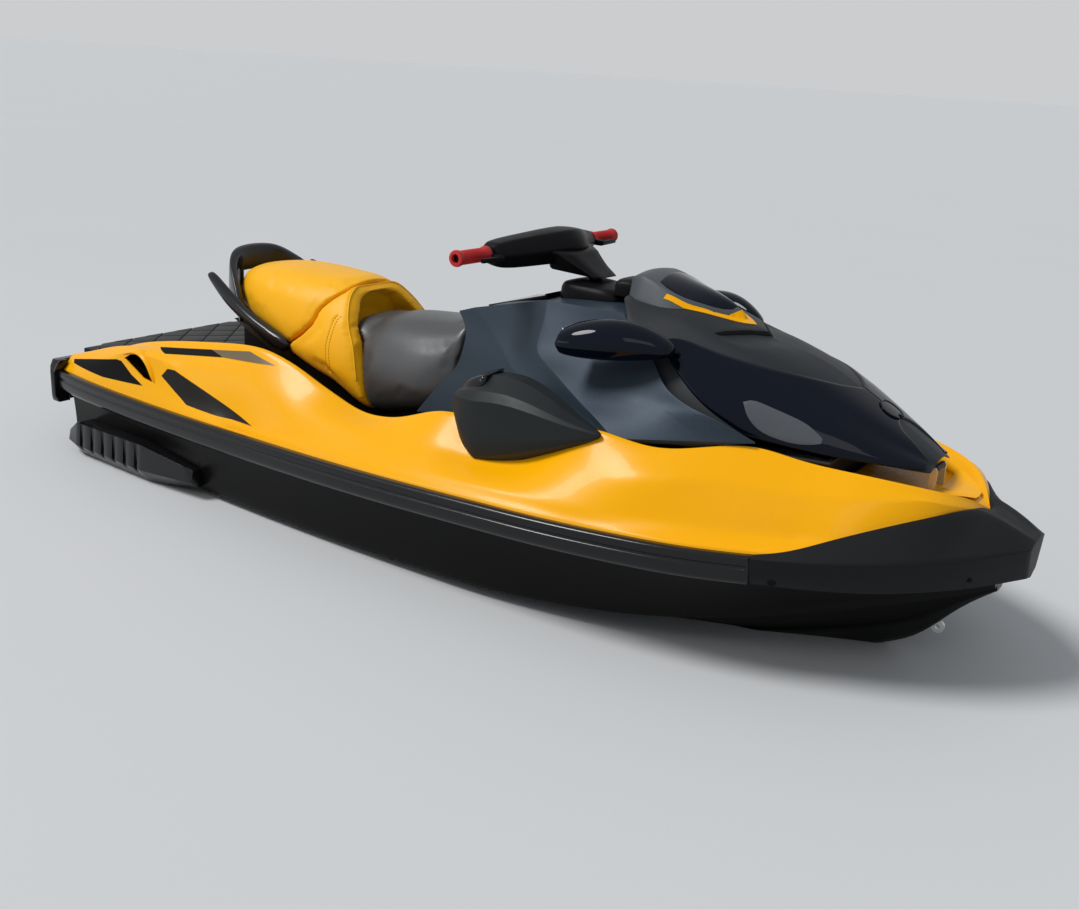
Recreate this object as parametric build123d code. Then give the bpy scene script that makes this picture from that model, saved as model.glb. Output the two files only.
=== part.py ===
from build123d import *
from math import atan2, cos, degrees, hypot, radians, sin
import os

# A three-seat personal watercraft, in millimetres. X points to the bow, Y to port, Z up.
# Heights in this file are above the keel. The finished pieces are lowered by DRAFT, so that
# the part's origin is at mid length, on the centreline, at the waterline.

# Overall sizes
LENGTH = 3320.0
BEAM = 1250.0
DRAFT = 170.0

# Running clearances
SEAM = 0.3
RUN = 6.0
FIT = 0.4

# Hull and deck
KEEL_FLAT = 18.0
CHINE_FLAT = 48.0
STRAKE_DEPTH = 12.0
BOND_DROP = 35.0
RAIL_THICK = 28.0
RAIL_HEIGHT = 74.0
RAIL_BEVEL = 9.0
DECK_WALL = 46.0
DECK_LIP = 14.0
BOW_WELL = 46.0
TRANSOM_X = -1520.0
PLATFORM_REAR_X = -1618.0
PLATFORM_FRONT_X = -1104.0
PLATFORM_Z = 484.0
MAT_THICK = 8.0
FLOOR_Z = 372.0
FLOOR_REAR_X = -1080.0
FLOOR_FRONT_X = 300.0
PEDESTAL_HALF = 200.0

# Engine bay, inside the hull under the seats
BAY_REAR_X = -800.0
BAY_FRONT_X = 330.0
BAY_HALF = 170.0
BAY_FLOOR_Z = 108.0
ENGINE_LENGTH = 620.0
ENGINE_WIDTH = 300.0
ENGINE_HEIGHT = 300.0
ENGINE_X = -420.0

# Jet drive
PUMP_Z = 165.0
PUMP_BORE = 161.0
PUMP_WALL = 12.0
PUMP_LENGTH = 220.0
PUMP_FLANGE = 34.0
HUB_RADIUS = 34.0
BLADES = 4
BLADE_THICK = 6.0
BLADE_GAP = 2.0
BLADE_PITCH = 38.0
STATOR_VANES = 5
STATOR_LENGTH = 70.0
VENTURI_LENGTH = 55.0
SPIGOT_LENGTH = 55.0
SPIGOT_WALL = 6.0
NOZZLE_BORE = 86.0
NOZZLE_WALL = 7.0
NOZZLE_REACH = 90.0
NOZZLE_AHEAD = 15.0
BELL_RADIUS = 64.0
BELL_LENGTH = 50.0
TUNNEL_HALF = 168.0
TUNNEL_TOP_Z = 378.0
TUNNEL_FRONT_X = -1090.0
INTAKE_HALF = 92.0
INTAKE_FRONT_X = -560.0
BUCKET_RADIUS = 188.0
BUCKET_WALL = 6.0
BUCKET_HALF = 138.0
BUCKET_SWEEP = 66.0
BUCKET_STOW = 24.0
BUCKET_PIN = 8.0
NOZZLE_PIN = 5.0
SHAFT_TO_IMPELLER = 14.0
RIDE_REAR_X = -1425.0
PLATE_Z = 22.0
PLATE_THICK = 8.0
GRATE_BARS = 1
DUCT_BELOW = 60.0

# Steering
COLUMN_X = 372.0
COLUMN_Z = 968.0
COLUMN_RAKE = 40.0
COLUMN_LENGTH = 62.0
SHAFT_RADIUS = 16.0
GRIP_X = 150.0
GRIP_Z = 1062.0
GRIP_INNER_Y = 262.0
GRIP_LENGTH = 138.0
GRIP_RADIUS = 17.0
BAR_RADIUS = 11.0

# Front storage, lid and glove box
BIN_FRONT_X = 1180.0
BIN_HALF = 190.0
BIN_FLOOR_Z = 340.0
BIN_LEDGE = 8.0
BIN_WALL = 6.0
BIN_RIM_Z = 690.0
HOOD_WALL = 10.0
HOOD_GAP = 10.0
HOOD_HINGE_X = 1394.0
HOOD_HINGE_Z = 680.0
HOOD_PIN = 4.0
KNUCKLE_RADIUS = 8.0
KNUCKLE_HALF = 30.0
EAR_THICK = 8.0
GLOVE_HALF = 82.0
GLOVE_DEPTH = 120.0
GLOVE_LID_THICK = 12.0
GLOVE_LEDGE = 14.0
GLOVE_BARREL = 3.5

# Eyes and small fittings
EYE_BORE = 14.0
EYE_WIRE = 10.0
STERN_EYE_Y = 260.0
STERN_EYE_Z = 330.0
BOW_EYE_X = 1462.0
BOW_EYE_Z = 262.0

# Stations: one every STATION_STEP, and closer together where the bow draws in
STATION_STEP = 166.0
BOW_STATION_STEP = 62.0
BOW_STATIONS_FROM = 1000.0

# The lines of the craft are drawn in millimetres for one length and beam, which are read from the
# keel's ends and from the widest row of the sheer, and are stretched to the overall sizes above.
# Columns of every line: x, half breadth and height above the keel
KEEL_ROWS = (
    (-1660, 0, 20), (-1200, 0, 4), (0, 0, 0), (600, 0, 10), (1000, 0, 62),
    (1200, 0, 122), (1386, 0, 200), (1440, 0, 240), (1500, 0, 330), (1560, 0, 392), (1660, 0, 440),
)
SHEER_ROWS = (
    (-1660, 470, 428), (-1600, 500, 430), (-1200, 560, 438), (-600, 605, 453), (0, 625, 471),
    (500, 612, 488), (900, 560, 501), (1200, 455, 514), (1400, 345, 530), (1550, 215, 546), (1660, 60, 556),
)
STRETCH = LENGTH / (KEEL_ROWS[-1][0] - KEEL_ROWS[0][0])
WIDEN = BEAM / (2 * max(row[1] for row in SHEER_ROWS))


def stretched(x):
    return x * STRETCH


def station_list():
    """The cross-sections that every skin of the craft is ruled between, from stern to bow."""
    places = []
    x = KEEL_ROWS[0][0]
    while x <= KEEL_ROWS[-1][0] + 1:
        places.append(x)
        x += STATION_STEP if x < BOW_STATIONS_FROM else BOW_STATION_STEP
    return [stretched(x) for x in places]


STATIONS = station_list()


class Line:
    """A line that runs along the craft: rows of x, half breadth y and height z.

    It is faired through its rows at the stations, and straight between two stations, so that
    pieces that share a line meet along it exactly."""

    def __init__(self, *rows):
        self.xs = [stretched(row[0]) for row in rows]
        self.columns = ([row[1] * WIDEN for row in rows], [row[2] for row in rows])

    def slope(self, values, i):
        if i in (0, len(values) - 1):
            j = 0 if i == 0 else i - 1
            return (values[j + 1] - values[j]) / (self.xs[j + 1] - self.xs[j])
        before = (values[i] - values[i - 1]) / (self.xs[i] - self.xs[i - 1])
        after = (values[i + 1] - values[i]) / (self.xs[i + 1] - self.xs[i])
        return 0.0 if before * after <= 0 else 2 * before * after / (before + after)

    def fair(self, x):
        x = min(max(x, self.xs[0]), self.xs[-1])
        i = max(k for k in range(len(self.xs) - 1) if self.xs[k] <= x)
        span = self.xs[i + 1] - self.xs[i]
        t = (x - self.xs[i]) / span
        weights = (2 * t**3 - 3 * t**2 + 1, t**3 - 2 * t**2 + t, 3 * t**2 - 2 * t**3, t**3 - t**2)
        found = []
        for values in self.columns:
            ends = (values[i], span * self.slope(values, i), values[i + 1], span * self.slope(values, i + 1))
            found.append(sum(w * e for w, e in zip(weights, ends)))
        return found

    def at(self, x):
        k = max([0] + [k for k in range(len(STATIONS) - 1) if STATIONS[k] <= x])
        low, high = STATIONS[k], STATIONS[k + 1]
        t = (min(max(x, low), high) - low) / (high - low)
        (y0, z0), (y1, z1) = self.fair(low), self.fair(high)
        return (y0 + t * (y1 - y0), z0 + t * (z1 - z0))


def cuts(rear, front):
    """The stations from rear to front, with both ends."""
    return [rear] + [x for x in STATIONS if rear + 1 < x < front - 1] + [front]


def skin(rear, front, section):
    """A solid ruled through closed sections, each a list of (y, z) for a place along X."""
    wires = []
    for x in cuts(rear, front):
        wires.append(upright_wire(x, section(x)))
    return ruled_loft(wires)


def both_sides(half):
    """A closed symmetric section from its port half, which starts and ends near the centreline."""
    other = [(-y, z) for y, z in reversed(half) if y > 0.01]
    return half + other


def starboard(shape):
    return mirror(shape, about=Plane.XZ)


def widened(rows):
    """Rows of x, inner and outer half breadth, underside and top, moved out as the beam grows."""
    return [(x, inner * WIDEN, outer * WIDEN, low, top) for x, inner, outer, low, top in rows]


def upright_wire(x, points):
    """A closed outline across the craft at one x, from its (y, z) points."""
    return Wire.make_polygon([Vector(x, y, z) for y, z in points], close=True)


def ruled_loft(wires):
    return Solid.make_loft(wires, ruled=True)


def nipped(rear, front, half, nip):
    """A plan outline with its four corners cut off by a nip."""
    return [
        (rear, half - nip), (rear + nip, half), (front - nip, half), (front, half - nip), (front, nip - half),
        (front - nip, -half), (rear + nip, -half), (rear, nip - half),
    ]


def block(x0, x1, y0, y1, z0, z1):
    return Pos((x0 + x1) / 2, (y0 + y1) / 2, (z0 + z1) / 2) * Box(x1 - x0, y1 - y0, z1 - z0)


def side_extrude(points, y0, y1):
    """A side view outline of (x, z) points, made solid from y0 to y1."""
    face = Face(Wire.make_polygon([Vector(x, y0, z) for x, z in points], close=True))
    return extrude(face, amount=y1 - y0, dir=(0, 1, 0))


def plan_extrude(points, z0, z1):
    """A plan view outline of (x, y) points, made solid from z0 to z1."""
    face = Face(Wire.make_polygon([Vector(x, y, z0) for x, y in points], close=True))
    return extrude(face, amount=z1 - z0, dir=(0, 0, 1))


def rod(start, end, radius):
    """A round bar from one point to another."""
    axis = Vector(*end) - Vector(*start)
    plane = Plane(origin=start, z_dir=axis)
    return plane * Cylinder(radius, axis.length, align=(Align.CENTER, Align.CENTER, Align.MIN))


def between(a, b, t):
    return a + (b - a) * t


KEEL = Line(*KEEL_ROWS)
SHEER = Line(*SHEER_ROWS)
CHINE = Line(
    (-1660, 455, 212), (-1000, 515, 205), (-300, 535, 205), (300, 522, 214), (700, 470, 240),
    (1000, 388, 285), (1200, 300, 330), (1400, 185, 382), (1520, 100, 412), (1660, 16, 452),
)

# Lines of the deck, from the rail inwards: a low shelf, the hollow or swell above it, and the crest
SHELF = Line(
    (-1660, 425, 452), (-1420, 480, 480), (-1250, 498, 545), (-1120, 506, 582), (-968, 508, 584),
    (-869, 514, 558), (-720, 526, 506), (-574, 538, 464), (-200, 556, 480), (200, 562, 508),
    (620, 548, 528), (900, 488, 536), (1160, 385, 540), (1400, 270, 598), (1500, 170, 630), (1660, 60, 640),
)
FLANK = Line(
    (-1660, 415, 460), (-1120, 474, 597), (-869, 478, 606), (-600, 484, 580), (-300, 492, 546),
    (0, 492, 544), (168, 488, 562), (300, 474, 545), (450, 468, 560), (600, 480, 606), (760, 476, 618),
    (1020, 372, 640), (1150, 330, 632), (1315, 262, 646), (1428, 196, 652), (1520, 104, 645), (1660, 40, 640),
)
CREST = Line(
    (-1660, 405, 466), (-1560, 412, 482), (-1363, 432, 536), (-1126, 436, 606), (-877, 428, 650),
    (-616, 415, 678), (-491, 412, 657), (-318, 415, 602), (-149, 420, 564), (-54, 422, 574),
    (168, 418, 640), (300, 402, 640), (450, 396, 650), (560, 404, 674), (626, 418, 698), (800, 396, 680),
    (1020, 292, 712), (1150, 262, 694), (1315, 218, 684), (1428, 160, 668), (1520, 84, 656), (1660, 30, 650),
)


def outer_wall(x):
    """Where the hull and the deck meet behind the rail: (y, z)."""
    y, z = SHEER.at(x)
    return (y - RAIL_THICK, z - BOND_DROP)


def hull_section(x):
    _, keel_z = KEEL.at(x)
    chine_y, chine_z = CHINE.at(x)
    top_y, top_z = outer_wall(x)
    flat = min(KEEL_FLAT, chine_y * 0.4)
    run = chine_y - min(CHINE_FLAT, chine_y * 0.4)
    rise = chine_z - STRAKE_DEPTH - keel_z
    strake_y = between(flat, run, 0.5)
    strake_z = keel_z + rise * 0.5
    drop = min(STRAKE_DEPTH, rise * 0.2)
    half = [
        (0, keel_z),
        (flat, keel_z),
        (strake_y, strake_z - drop * 0.5),
        (strake_y + drop * 0.3, strake_z + drop * 0.5),
        (run, chine_z - drop * 0.5),
        (chine_y, chine_z - drop),
        (chine_y + drop * 0.5, chine_z + drop),
        (between(chine_y, top_y, 0.42), between(chine_z, top_z, 0.5)),
        (top_y, top_z),
        (0, top_z),
    ]
    return both_sides(half)


HULL_TIP_X = 1590.0


def make_hull():
    hull = skin(TRANSOM_X, stretched(HULL_TIP_X), hull_section)
    engine_bay = block(BAY_REAR_X, BAY_FRONT_X, -BAY_HALF, BAY_HALF, BAY_FLOOR_Z, BAY_FLOOR_Z + 600)
    hull -= engine_bay
    for side in (1, -1):
        low_y, high_y = sorted((side * PEDESTAL_HALF, side * foot_y()))
        hull -= block(FLOOR_REAR_X, FLOOR_FRONT_X, low_y, high_y, FLOOR_Z - MAT_THICK, FLOOR_Z + 300)
    hull -= block(TRANSOM_X - 50, TUNNEL_FRONT_X, -TUNNEL_HALF, TUNNEL_HALF, -50, TUNNEL_TOP_Z)
    hull -= intake_duct()
    hull -= rod((TUNNEL_FRONT_X, 0, PUMP_Z), (BAY_REAR_X + 1, 0, PUMP_Z), SHAFT_TO_IMPELLER + FIT)
    hull -= block(
        bin_rear_x() - 12, stretched(BIN_FRONT_X) + 12, -BIN_HALF - 12, BIN_HALF + 12, BIN_FLOOR_Z - SEAM, 700
    )
    return hull


def foot_y():
    """How far out the footwells reach, at the narrowest place of the gunwales' inner foot."""
    return min(CREST.at(x)[0] for x in cuts(FLOOR_REAR_X, FLOOR_FRONT_X)) - DECK_WALL - SEAM


def intake_duct():
    """The water way that rises from the bottom of the hull to the pump."""
    radius = PUMP_BORE / 2
    low = [
        Vector(INTAKE_FRONT_X, INTAKE_HALF, -DUCT_BELOW),
        Vector(INTAKE_FRONT_X, -INTAKE_HALF, -DUCT_BELOW),
        Vector(TUNNEL_FRONT_X + 60, -INTAKE_HALF, -DUCT_BELOW),
        Vector(TUNNEL_FRONT_X + 60, INTAKE_HALF, -DUCT_BELOW),
    ]
    high_front = PUMP_Z + radius
    high = [
        Vector(TUNNEL_FRONT_X + 100, INTAKE_HALF * 0.9, high_front),
        Vector(TUNNEL_FRONT_X + 100, -INTAKE_HALF * 0.9, high_front),
        Vector(TUNNEL_FRONT_X - 10, -INTAKE_HALF * 0.9, high_front),
        Vector(TUNNEL_FRONT_X - 10, INTAKE_HALF * 0.9, high_front),
    ]
    rise = ruled_loft([Wire.make_polygon(low, close=True), Wire.make_polygon(high, close=True)])
    straight = rod((TUNNEL_FRONT_X - 20, 0, PUMP_Z), (TUNNEL_FRONT_X + 120, 0, PUMP_Z), radius)
    return rise + straight


def make_engine_block():
    x0 = ENGINE_X - ENGINE_LENGTH / 2
    return block(
        x0, x0 + ENGINE_LENGTH, -ENGINE_WIDTH / 2, ENGINE_WIDTH / 2, BAY_FLOOR_Z, BAY_FLOOR_Z + ENGINE_HEIGHT
    )


def gunwale_section(x):
    """The deck on the port side, from the bond line over the crest to its inner foot."""
    wall_y, wall_z = outer_wall(x)
    _, rail_z = SHEER.at(x)
    crest_y, crest_z = CREST.at(x)
    return [
        (wall_y, wall_z),
        (wall_y, rail_z + 3),
        SHELF.at(x),
        FLANK.at(x),
        (crest_y, crest_z),
        (crest_y - DECK_LIP, crest_z - 4),
        (crest_y - DECK_WALL, crest_z - 40),
        (crest_y - DECK_WALL, wall_z),
    ]


DECK_REAR_X = -1590.0
DECK_TIP_X = 1512.0
DECK_CLOSED_X = 1330.0
SCOOP = ((-1205, 538), (-1145, 552), (-1078, 544), (-1072, 508), (-1130, 504))
SCOOP_INNER_Y = 470.0


def bow_section(x):
    """The closed bow of the deck, with a well between its crests that runs out towards the tip."""
    wall_y, wall_z = outer_wall(x)
    _, rail_z = SHEER.at(x)
    crest_y, crest_z = CREST.at(x)
    well = BOW_WELL * min(1.0, (stretched(DECK_TIP_X) - x) / 110) + 2
    half = [
        (0, wall_z),
        (wall_y, wall_z),
        (wall_y, rail_z + 3),
        SHELF.at(x),
        FLANK.at(x),
        (crest_y, crest_z),
        (crest_y - min(DECK_LIP, crest_y * 0.25), crest_z - 4),
        (max(crest_y - DECK_WALL, crest_y * 0.3), crest_z - well),
        (0, crest_z - well),
    ]
    return both_sides(half)


def make_deck():
    side = skin(DECK_REAR_X, stretched(DECK_CLOSED_X), gunwale_section)
    side -= side_extrude(SCOOP, SCOOP_INNER_Y, BEAM)
    bow = skin(stretched(DECK_CLOSED_X), stretched(DECK_TIP_X), bow_section)
    return side + starboard(side) + bow


def rail_section(x):
    y, z = SHEER.at(x)
    inner = y - RAIL_THICK + SEAM
    return [
        (inner, z - RAIL_HEIGHT),
        (y - RAIL_BEVEL, z - RAIL_HEIGHT),
        (y, z - RAIL_HEIGHT + 2 * RAIL_BEVEL),
        (y, z - RAIL_BEVEL),
        (y - RAIL_BEVEL, z),
        (inner, z),
    ]


RAIL_REAR_X = -1572.0
RAIL_FRONT_X = 1128.0


def make_rail():
    return skin(RAIL_REAR_X, stretched(RAIL_FRONT_X), rail_section)


# The bow bumper's upper edge, where it meets the deck, and its tip
BUMPER_TOP = Line(
    (1128, 462, 504), (1190, 434, 520), (1280, 354, 558), (1375, 264, 592), (1443, 204, 614),
    (1487, 146, 628), (1512, 84, 632), (1560, 62, 612), (1610, 50, 584), (1660, 30, 558),
)
BUMPER_TIP_X = 1654.0
BUMPER_LIFT = 9.0


def bumper_section(solid):
    """The bow bumper's form: a sloping top, a crease at its edge and a face tucked in below.

    It is hollow over the deck's tip, and solid across ahead of it."""
    def section(x):
        edge_y, edge_z = SHEER.at(x)
        wall_y, wall_z = outer_wall(x)
        top_y, top_z = BUMPER_TOP.at(x)
        _, keel_z = KEEL.at(x)
        reach = min(1.0, (x - stretched(RAIL_FRONT_X)) / 260)
        low_z = max(wall_z - 46 - 14 * reach, keel_z)
        shelf_y, shelf_z = SHELF.at(min(x, stretched(DECK_TIP_X)))
        along = max(0, x - stretched(DECK_TIP_X)) / (stretched(BUMPER_TIP_X) - stretched(DECK_TIP_X))
        shelf_y = between(shelf_y, (edge_y + top_y) / 2, along)
        shelf_z = between(shelf_z, (edge_z + top_z) / 2, along)
        half = [
            (0, low_z),
            (max(wall_y - 26 * reach - 2, 4), low_z),
            (max(edge_y - 24, 8), edge_z - RAIL_HEIGHT - 14 * reach + 12),
            (edge_y, edge_z - 26),
            (edge_y + 2 * reach, edge_z - 8),
            (shelf_y, shelf_z + BUMPER_LIFT),
            (top_y, top_z + BUMPER_LIFT),
            (top_y * 0.8, top_z + (BUMPER_LIFT if solid else -30)),
            (0, top_z + (BUMPER_LIFT + 3 if solid else -34)),
        ]
        return both_sides(half)
    return section


def make_bow_bumper(deck, hull):
    rear = stretched(RAIL_FRONT_X) + SEAM
    join = stretched(DECK_TIP_X) - 2
    cap = skin(rear, join, bumper_section(False)) + skin(join, stretched(BUMPER_TIP_X), bumper_section(True))
    cap = cap - deck - hull
    return max(cap.solids(), key=lambda solid: solid.volume)


STERN_CORNER_X = -1620.0
STERN_CORNER_BREADTH = 88.0
STERN_CORNER_HEIGHT = 152.0
STERN_CORNER_LIFT = 34.0


def make_stern_corner():
    """The black moulding that wraps the port stern corner, rounded off towards the side and the top."""
    y, z = SHEER.at(-1600)
    rear, front = STERN_CORNER_X, RAIL_REAR_X - 2
    inner, outer = y - STERN_CORNER_BREADTH, y + 30
    wall_y = y - RAIL_THICK - SEAM
    outline = [
        (rear, inner), (rear, y - 4), (rear + 8, y + 18), (rear + 24, outer), (front, outer), (front, wall_y),
        (DECK_REAR_X - 2, wall_y), (DECK_REAR_X - 2, inner),
    ]
    top = z + STERN_CORNER_LIFT
    low = top - STERN_CORNER_HEIGHT
    profile = [
        (inner, low), (outer - 14, low), (outer, low + 26), (outer, top - 40), (outer - 26, top),
        (inner, top),
    ]
    return plan_extrude(outline, low, top) & skin(rear, front, lambda x: profile)


def make_swim_platform():
    rear = PLATFORM_REAR_X
    half = lambda x: CREST.at(x)[0] - DECK_WALL - SEAM
    low = outer_wall(PLATFORM_FRONT_X)[1] + SEAM
    outline = [(rear, half(DECK_REAR_X)), (DECK_REAR_X, half(DECK_REAR_X)), (TRANSOM_X, half(DECK_REAR_X))]
    outline += [(PLATFORM_FRONT_X, half(DECK_REAR_X))]
    outline += [(x, -y) for x, y in reversed(outline)]
    return plan_extrude(outline, low, PLATFORM_Z)


def make_platform_mat():
    inset = 22
    half = CREST.at(DECK_REAR_X)[0] - DECK_WALL - inset
    outline = [
        (PLATFORM_REAR_X + inset, half - 40), (PLATFORM_REAR_X + inset + 40, half),
        (PLATFORM_FRONT_X - inset, half), (PLATFORM_FRONT_X - inset, -half),
        (PLATFORM_REAR_X + inset + 40, -half), (PLATFORM_REAR_X + inset, -half + 40),
    ]
    return plan_extrude(outline, PLATFORM_Z, PLATFORM_Z + MAT_THICK)


def make_footwell_mat():
    return block(
        FLOOR_REAR_X + 4, FLOOR_FRONT_X - 4, PEDESTAL_HALF + 3, foot_y() - 3, FLOOR_Z - MAT_THICK, FLOOR_Z
    )


# Seats, from their side views. Columns of each row: x, half width below and above, underside, top
SEAT_REAR = (
    (-1052, 92, 78, 734, 834),
    (-1010, 146, 118, 716, 850),
    (-930, 186, 152, 694, 864),
    (-800, 206, 172, 668, 866),
    (-660, 216, 176, 640, 842),
)
BOLSTER = (
    (-657, 220, 176, 634, 842),
    (-560, 234, 160, 590, 862),
    (-470, 240, 142, 555, 868),
    (-400, 240, 130, 505, 866),
    (-300, 232, 120, 470, 850),
)
SEAT_FRONT = (
    (-440, 214, 150, 520, 760),
    (-316, 226, 164, 475, 789),
    (-200, 228, 166, 512, 798),
    (-90, 214, 156, 530, 812),
    (-14, 176, 136, 590, 850),
)
# Where the bolster's rim ends and the front seat's side begins, in the side view
SEAT_SPLIT = ((-316, 485), (-365, 587), (-401, 695), (-415, 805), (-436, 900))
SEAT_GAP = 2.0
COVE_DEPTH = 84.0
COVE_RIM = 26.0
COVE_FLOOR_Z = 640.0
TONGUE_GAP = 8.0


def seat_section(row):
    """A seat's crowned section, with sides that lean in towards the top."""
    _, low_half, top_half, low, top = row
    half = [
        (0, low), (low_half, low), (low_half, between(low, top, 0.3)),
        (between(low_half, top_half, 0.5), between(low, top, 0.64)), (top_half, between(low, top, 0.84)),
        (top_half * 0.55, between(low, top, 0.965)), (0, top),
    ]
    return both_sides(half)


def make_seat(rows):
    wires = [upright_wire(row[0], seat_section(row)) for row in rows]
    return ruled_loft(wires)


def ahead_of_split(gap):
    """All that lies ahead of the bolster's rim, moved back by a gap."""
    low, high = SEAT_SPLIT[0], SEAT_SPLIT[-1]
    outline = [(x - gap, z) for x, z in SEAT_SPLIT]
    outline = [(low[0] - gap + 60, 300), *outline, (high[0] - gap, 1000), (200, 1000), (200, 300)]
    return side_extrude(outline, -400, 400)


def cove(inset, depth):
    """The hollow under the bolster's arch, drawn in from the arch by an inset."""
    wires = []
    for row, scale, step in ((BOLSTER[-1], 1.0, 0), (BOLSTER[-2], 1.0, 0), (BOLSTER[-2], 0.72, -depth)):
        x, _, top_half, _, top = row
        half_width = (top_half - inset + 36) * scale
        crown = COVE_FLOOR_Z + (top - inset - COVE_FLOOR_Z) * scale
        half = [
            (0, COVE_FLOOR_Z), (half_width * 1.12, COVE_FLOOR_Z),
            (half_width, between(COVE_FLOOR_Z, crown, 0.5)),
            (half_width * 0.62, between(COVE_FLOOR_Z, crown, 0.88)), (0, crown),
        ]
        wires.append(upright_wire(x + step, both_sides(half)))
    return ruled_loft(wires)


def make_seat_bolster():
    """The arched step between the seats, hollowed out behind the rider's back."""
    return make_seat(BOLSTER) - ahead_of_split(0) - cove(COVE_RIM, COVE_DEPTH)


def make_seat_front():
    """The rider's seat, whose rear end reaches into the hollow under the arch."""
    front = make_seat(SEAT_FRONT)
    body = front & ahead_of_split(-SEAT_GAP)
    tongue = front & cove(COVE_RIM + TONGUE_GAP, COVE_DEPTH - TONGUE_GAP)
    tongue &= block(-500, SEAT_SPLIT[0][0], -300, 300, COVE_FLOOR_Z + SEAT_GAP, 1000)
    return body + tongue


BASE_REAR_X = -1070.0
BASE_SHOULDER_X = -944.0
BASE_FRONT_X = -2.0


def make_seat_base():
    """The pedestal that carries the seats, from the hull up to the seats' undersides."""
    low = outer_wall(0)[1] + SEAM
    outline = [(BASE_REAR_X, outer_wall(BASE_REAR_X)[1] + SEAM), (BASE_REAR_X, 728)]
    outline += [(row[0], row[3] - 1) for row in SEAT_REAR]
    outline += [(row[0], row[3] - 1) for row in BOLSTER[:-1]]
    outline += [(row[0], row[3] - 1) for row in SEAT_FRONT[1:]]
    outline += [(BASE_FRONT_X, SEAT_FRONT[-1][3] - 1), (BASE_FRONT_X, low)]
    half = PEDESTAL_HALF - 14
    plan = [(BASE_REAR_X, 50), (BASE_REAR_X + 30, 100), (BASE_SHOULDER_X, half), (BASE_FRONT_X, half)]
    plan += [(x, -y) for x, y in reversed(plan)]
    base = side_extrude(outline, -half, half) & plan_extrude(plan, 0, 1000)
    return base - make_seat_bolster() - make_seat_front()


# The grab handle's hoop in plan, half of its inner face from the front round to the rear, and the
# side view of the rails that carry it
HOOP_INNER = ((-890, 216), (-940, 190), (-1000, 158), (-1040, 126), (-1066, 88), (-1078, 50))
HOOP_OUTER = ((-890, 248), (-945, 218), (-1003, 186), (-1060, 153), (-1084, 120), (-1112, 56))
HOOP_SIDE = (
    (-1120, 729), (-1120, 907), (-1080, 888), (-1050, 866), (-1000, 834), (-940, 780), (-900, 712),
    (-900, 690), (-1000, 729),
)
RAIL_SIDE = (
    (-1094, 814), (-1086, 788), (-1044, 744), (-940, 684), (-855, 643), (-724, 596), (-676, 600), (-676, 655),
    (-749, 675), (-850, 706), (-960, 748), (-1030, 780), (-1080, 824),
)
GRAB_RAIL_IN = 224.0
GRAB_RAIL_OUT = 250.0
HAND_HALF = 70.0
HAND_LOW_Z = 764.0
HAND_HIGH_Z = 822.0


def make_grab_handle():
    """A hoop round the back of the rear seat, on two rails that run along the seat's foot."""
    outer = plan_extrude(HOOP_OUTER + tuple((x, -y) for x, y in reversed(HOOP_OUTER)), 600, 1000)
    inner = plan_extrude(HOOP_INNER + tuple((x, -y) for x, y in reversed(HOOP_INNER)), 600, 1000)
    hoop = (outer - inner) & side_extrude(HOOP_SIDE, -300, 300)
    hoop -= block(-1130, -1060, -HAND_HALF, HAND_HALF, HAND_LOW_Z, HAND_HIGH_Z)
    foot = [(x, z - 3) for x, _, _, z, _ in SEAT_REAR[2:]]
    foot = [(-940, 688)] + foot + [(-676, 604), (-724, 600), (-855, 647)]
    foot_inner = PEDESTAL_HALF - 14 + SEAM
    for side in (1, -1):
        hoop += side_extrude(RAIL_SIDE, *sorted((side * GRAB_RAIL_IN, side * GRAB_RAIL_OUT)))
        hoop += side_extrude(foot, *sorted((side * foot_inner, side * (GRAB_RAIL_IN + 2))))
    return hoop


# Console and side panels. Columns: x, top half breadth and height, ridge, lower edge
PANEL_TOP = Line(
    (-40, 150, 850), (60, 168, 880), (300, 176, 952), (540, 196, 966), (700, 206, 900), (1020, 230, 748),
)
PANEL_RIDGE = Line(
    (-40, 190, 800), (60, 212, 812), (270, 288, 800), (480, 366, 742), (626, 392, 716), (800, 372, 706),
    (1020, 272, 724),
)
PANEL_LOW = Line(
    (-40, 206, 560), (60, 236, 556), (250, 322, 572), (420, 376, 640), (626, 404, 696), (800, 380, 682),
    (1020, 280, 712),
)
PANEL_WALL = 30.0
PANEL_REAR_X = 2.0
PANEL_FRONT_X = 1010.0


def panel_section(x):
    top_y, top_z = PANEL_TOP.at(x)
    ridge_y, ridge_z = PANEL_RIDGE.at(x)
    low_y, low_z = PANEL_LOW.at(x)
    return [
        (low_y, low_z),
        (ridge_y, ridge_z),
        (top_y, top_z),
        (top_y - PANEL_WALL, top_z - 6),
        (top_y - PANEL_WALL, ridge_z - 26),
        (low_y - PANEL_WALL * 1.3, low_z),
    ]


def make_side_panel():
    return skin(PANEL_REAR_X, stretched(PANEL_FRONT_X), panel_section)


def console_section(x):
    top_y, top_z = PANEL_TOP.at(x)
    half_y = top_y - PANEL_WALL - SEAM
    foot_half = PEDESTAL_HALF - 14
    foot_z = outer_wall(CONSOLE_FRONT_X)[1] + SEAM
    half = [
        (0, foot_z), (foot_half, foot_z), (foot_half, 556), (half_y, 620), (half_y, top_z - 10),
        (half_y - 20, top_z), (0, top_z + 6),
    ]
    return both_sides(half)


CONSOLE_FRONT_X = 570.0
GLOVE_REAR_X = 42.0
GLOVE_FRONT_X = 232.0


def glove_top(x):
    """Height of the console's top on the centreline."""
    return PANEL_TOP.at(x)[1] + 6


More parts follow.
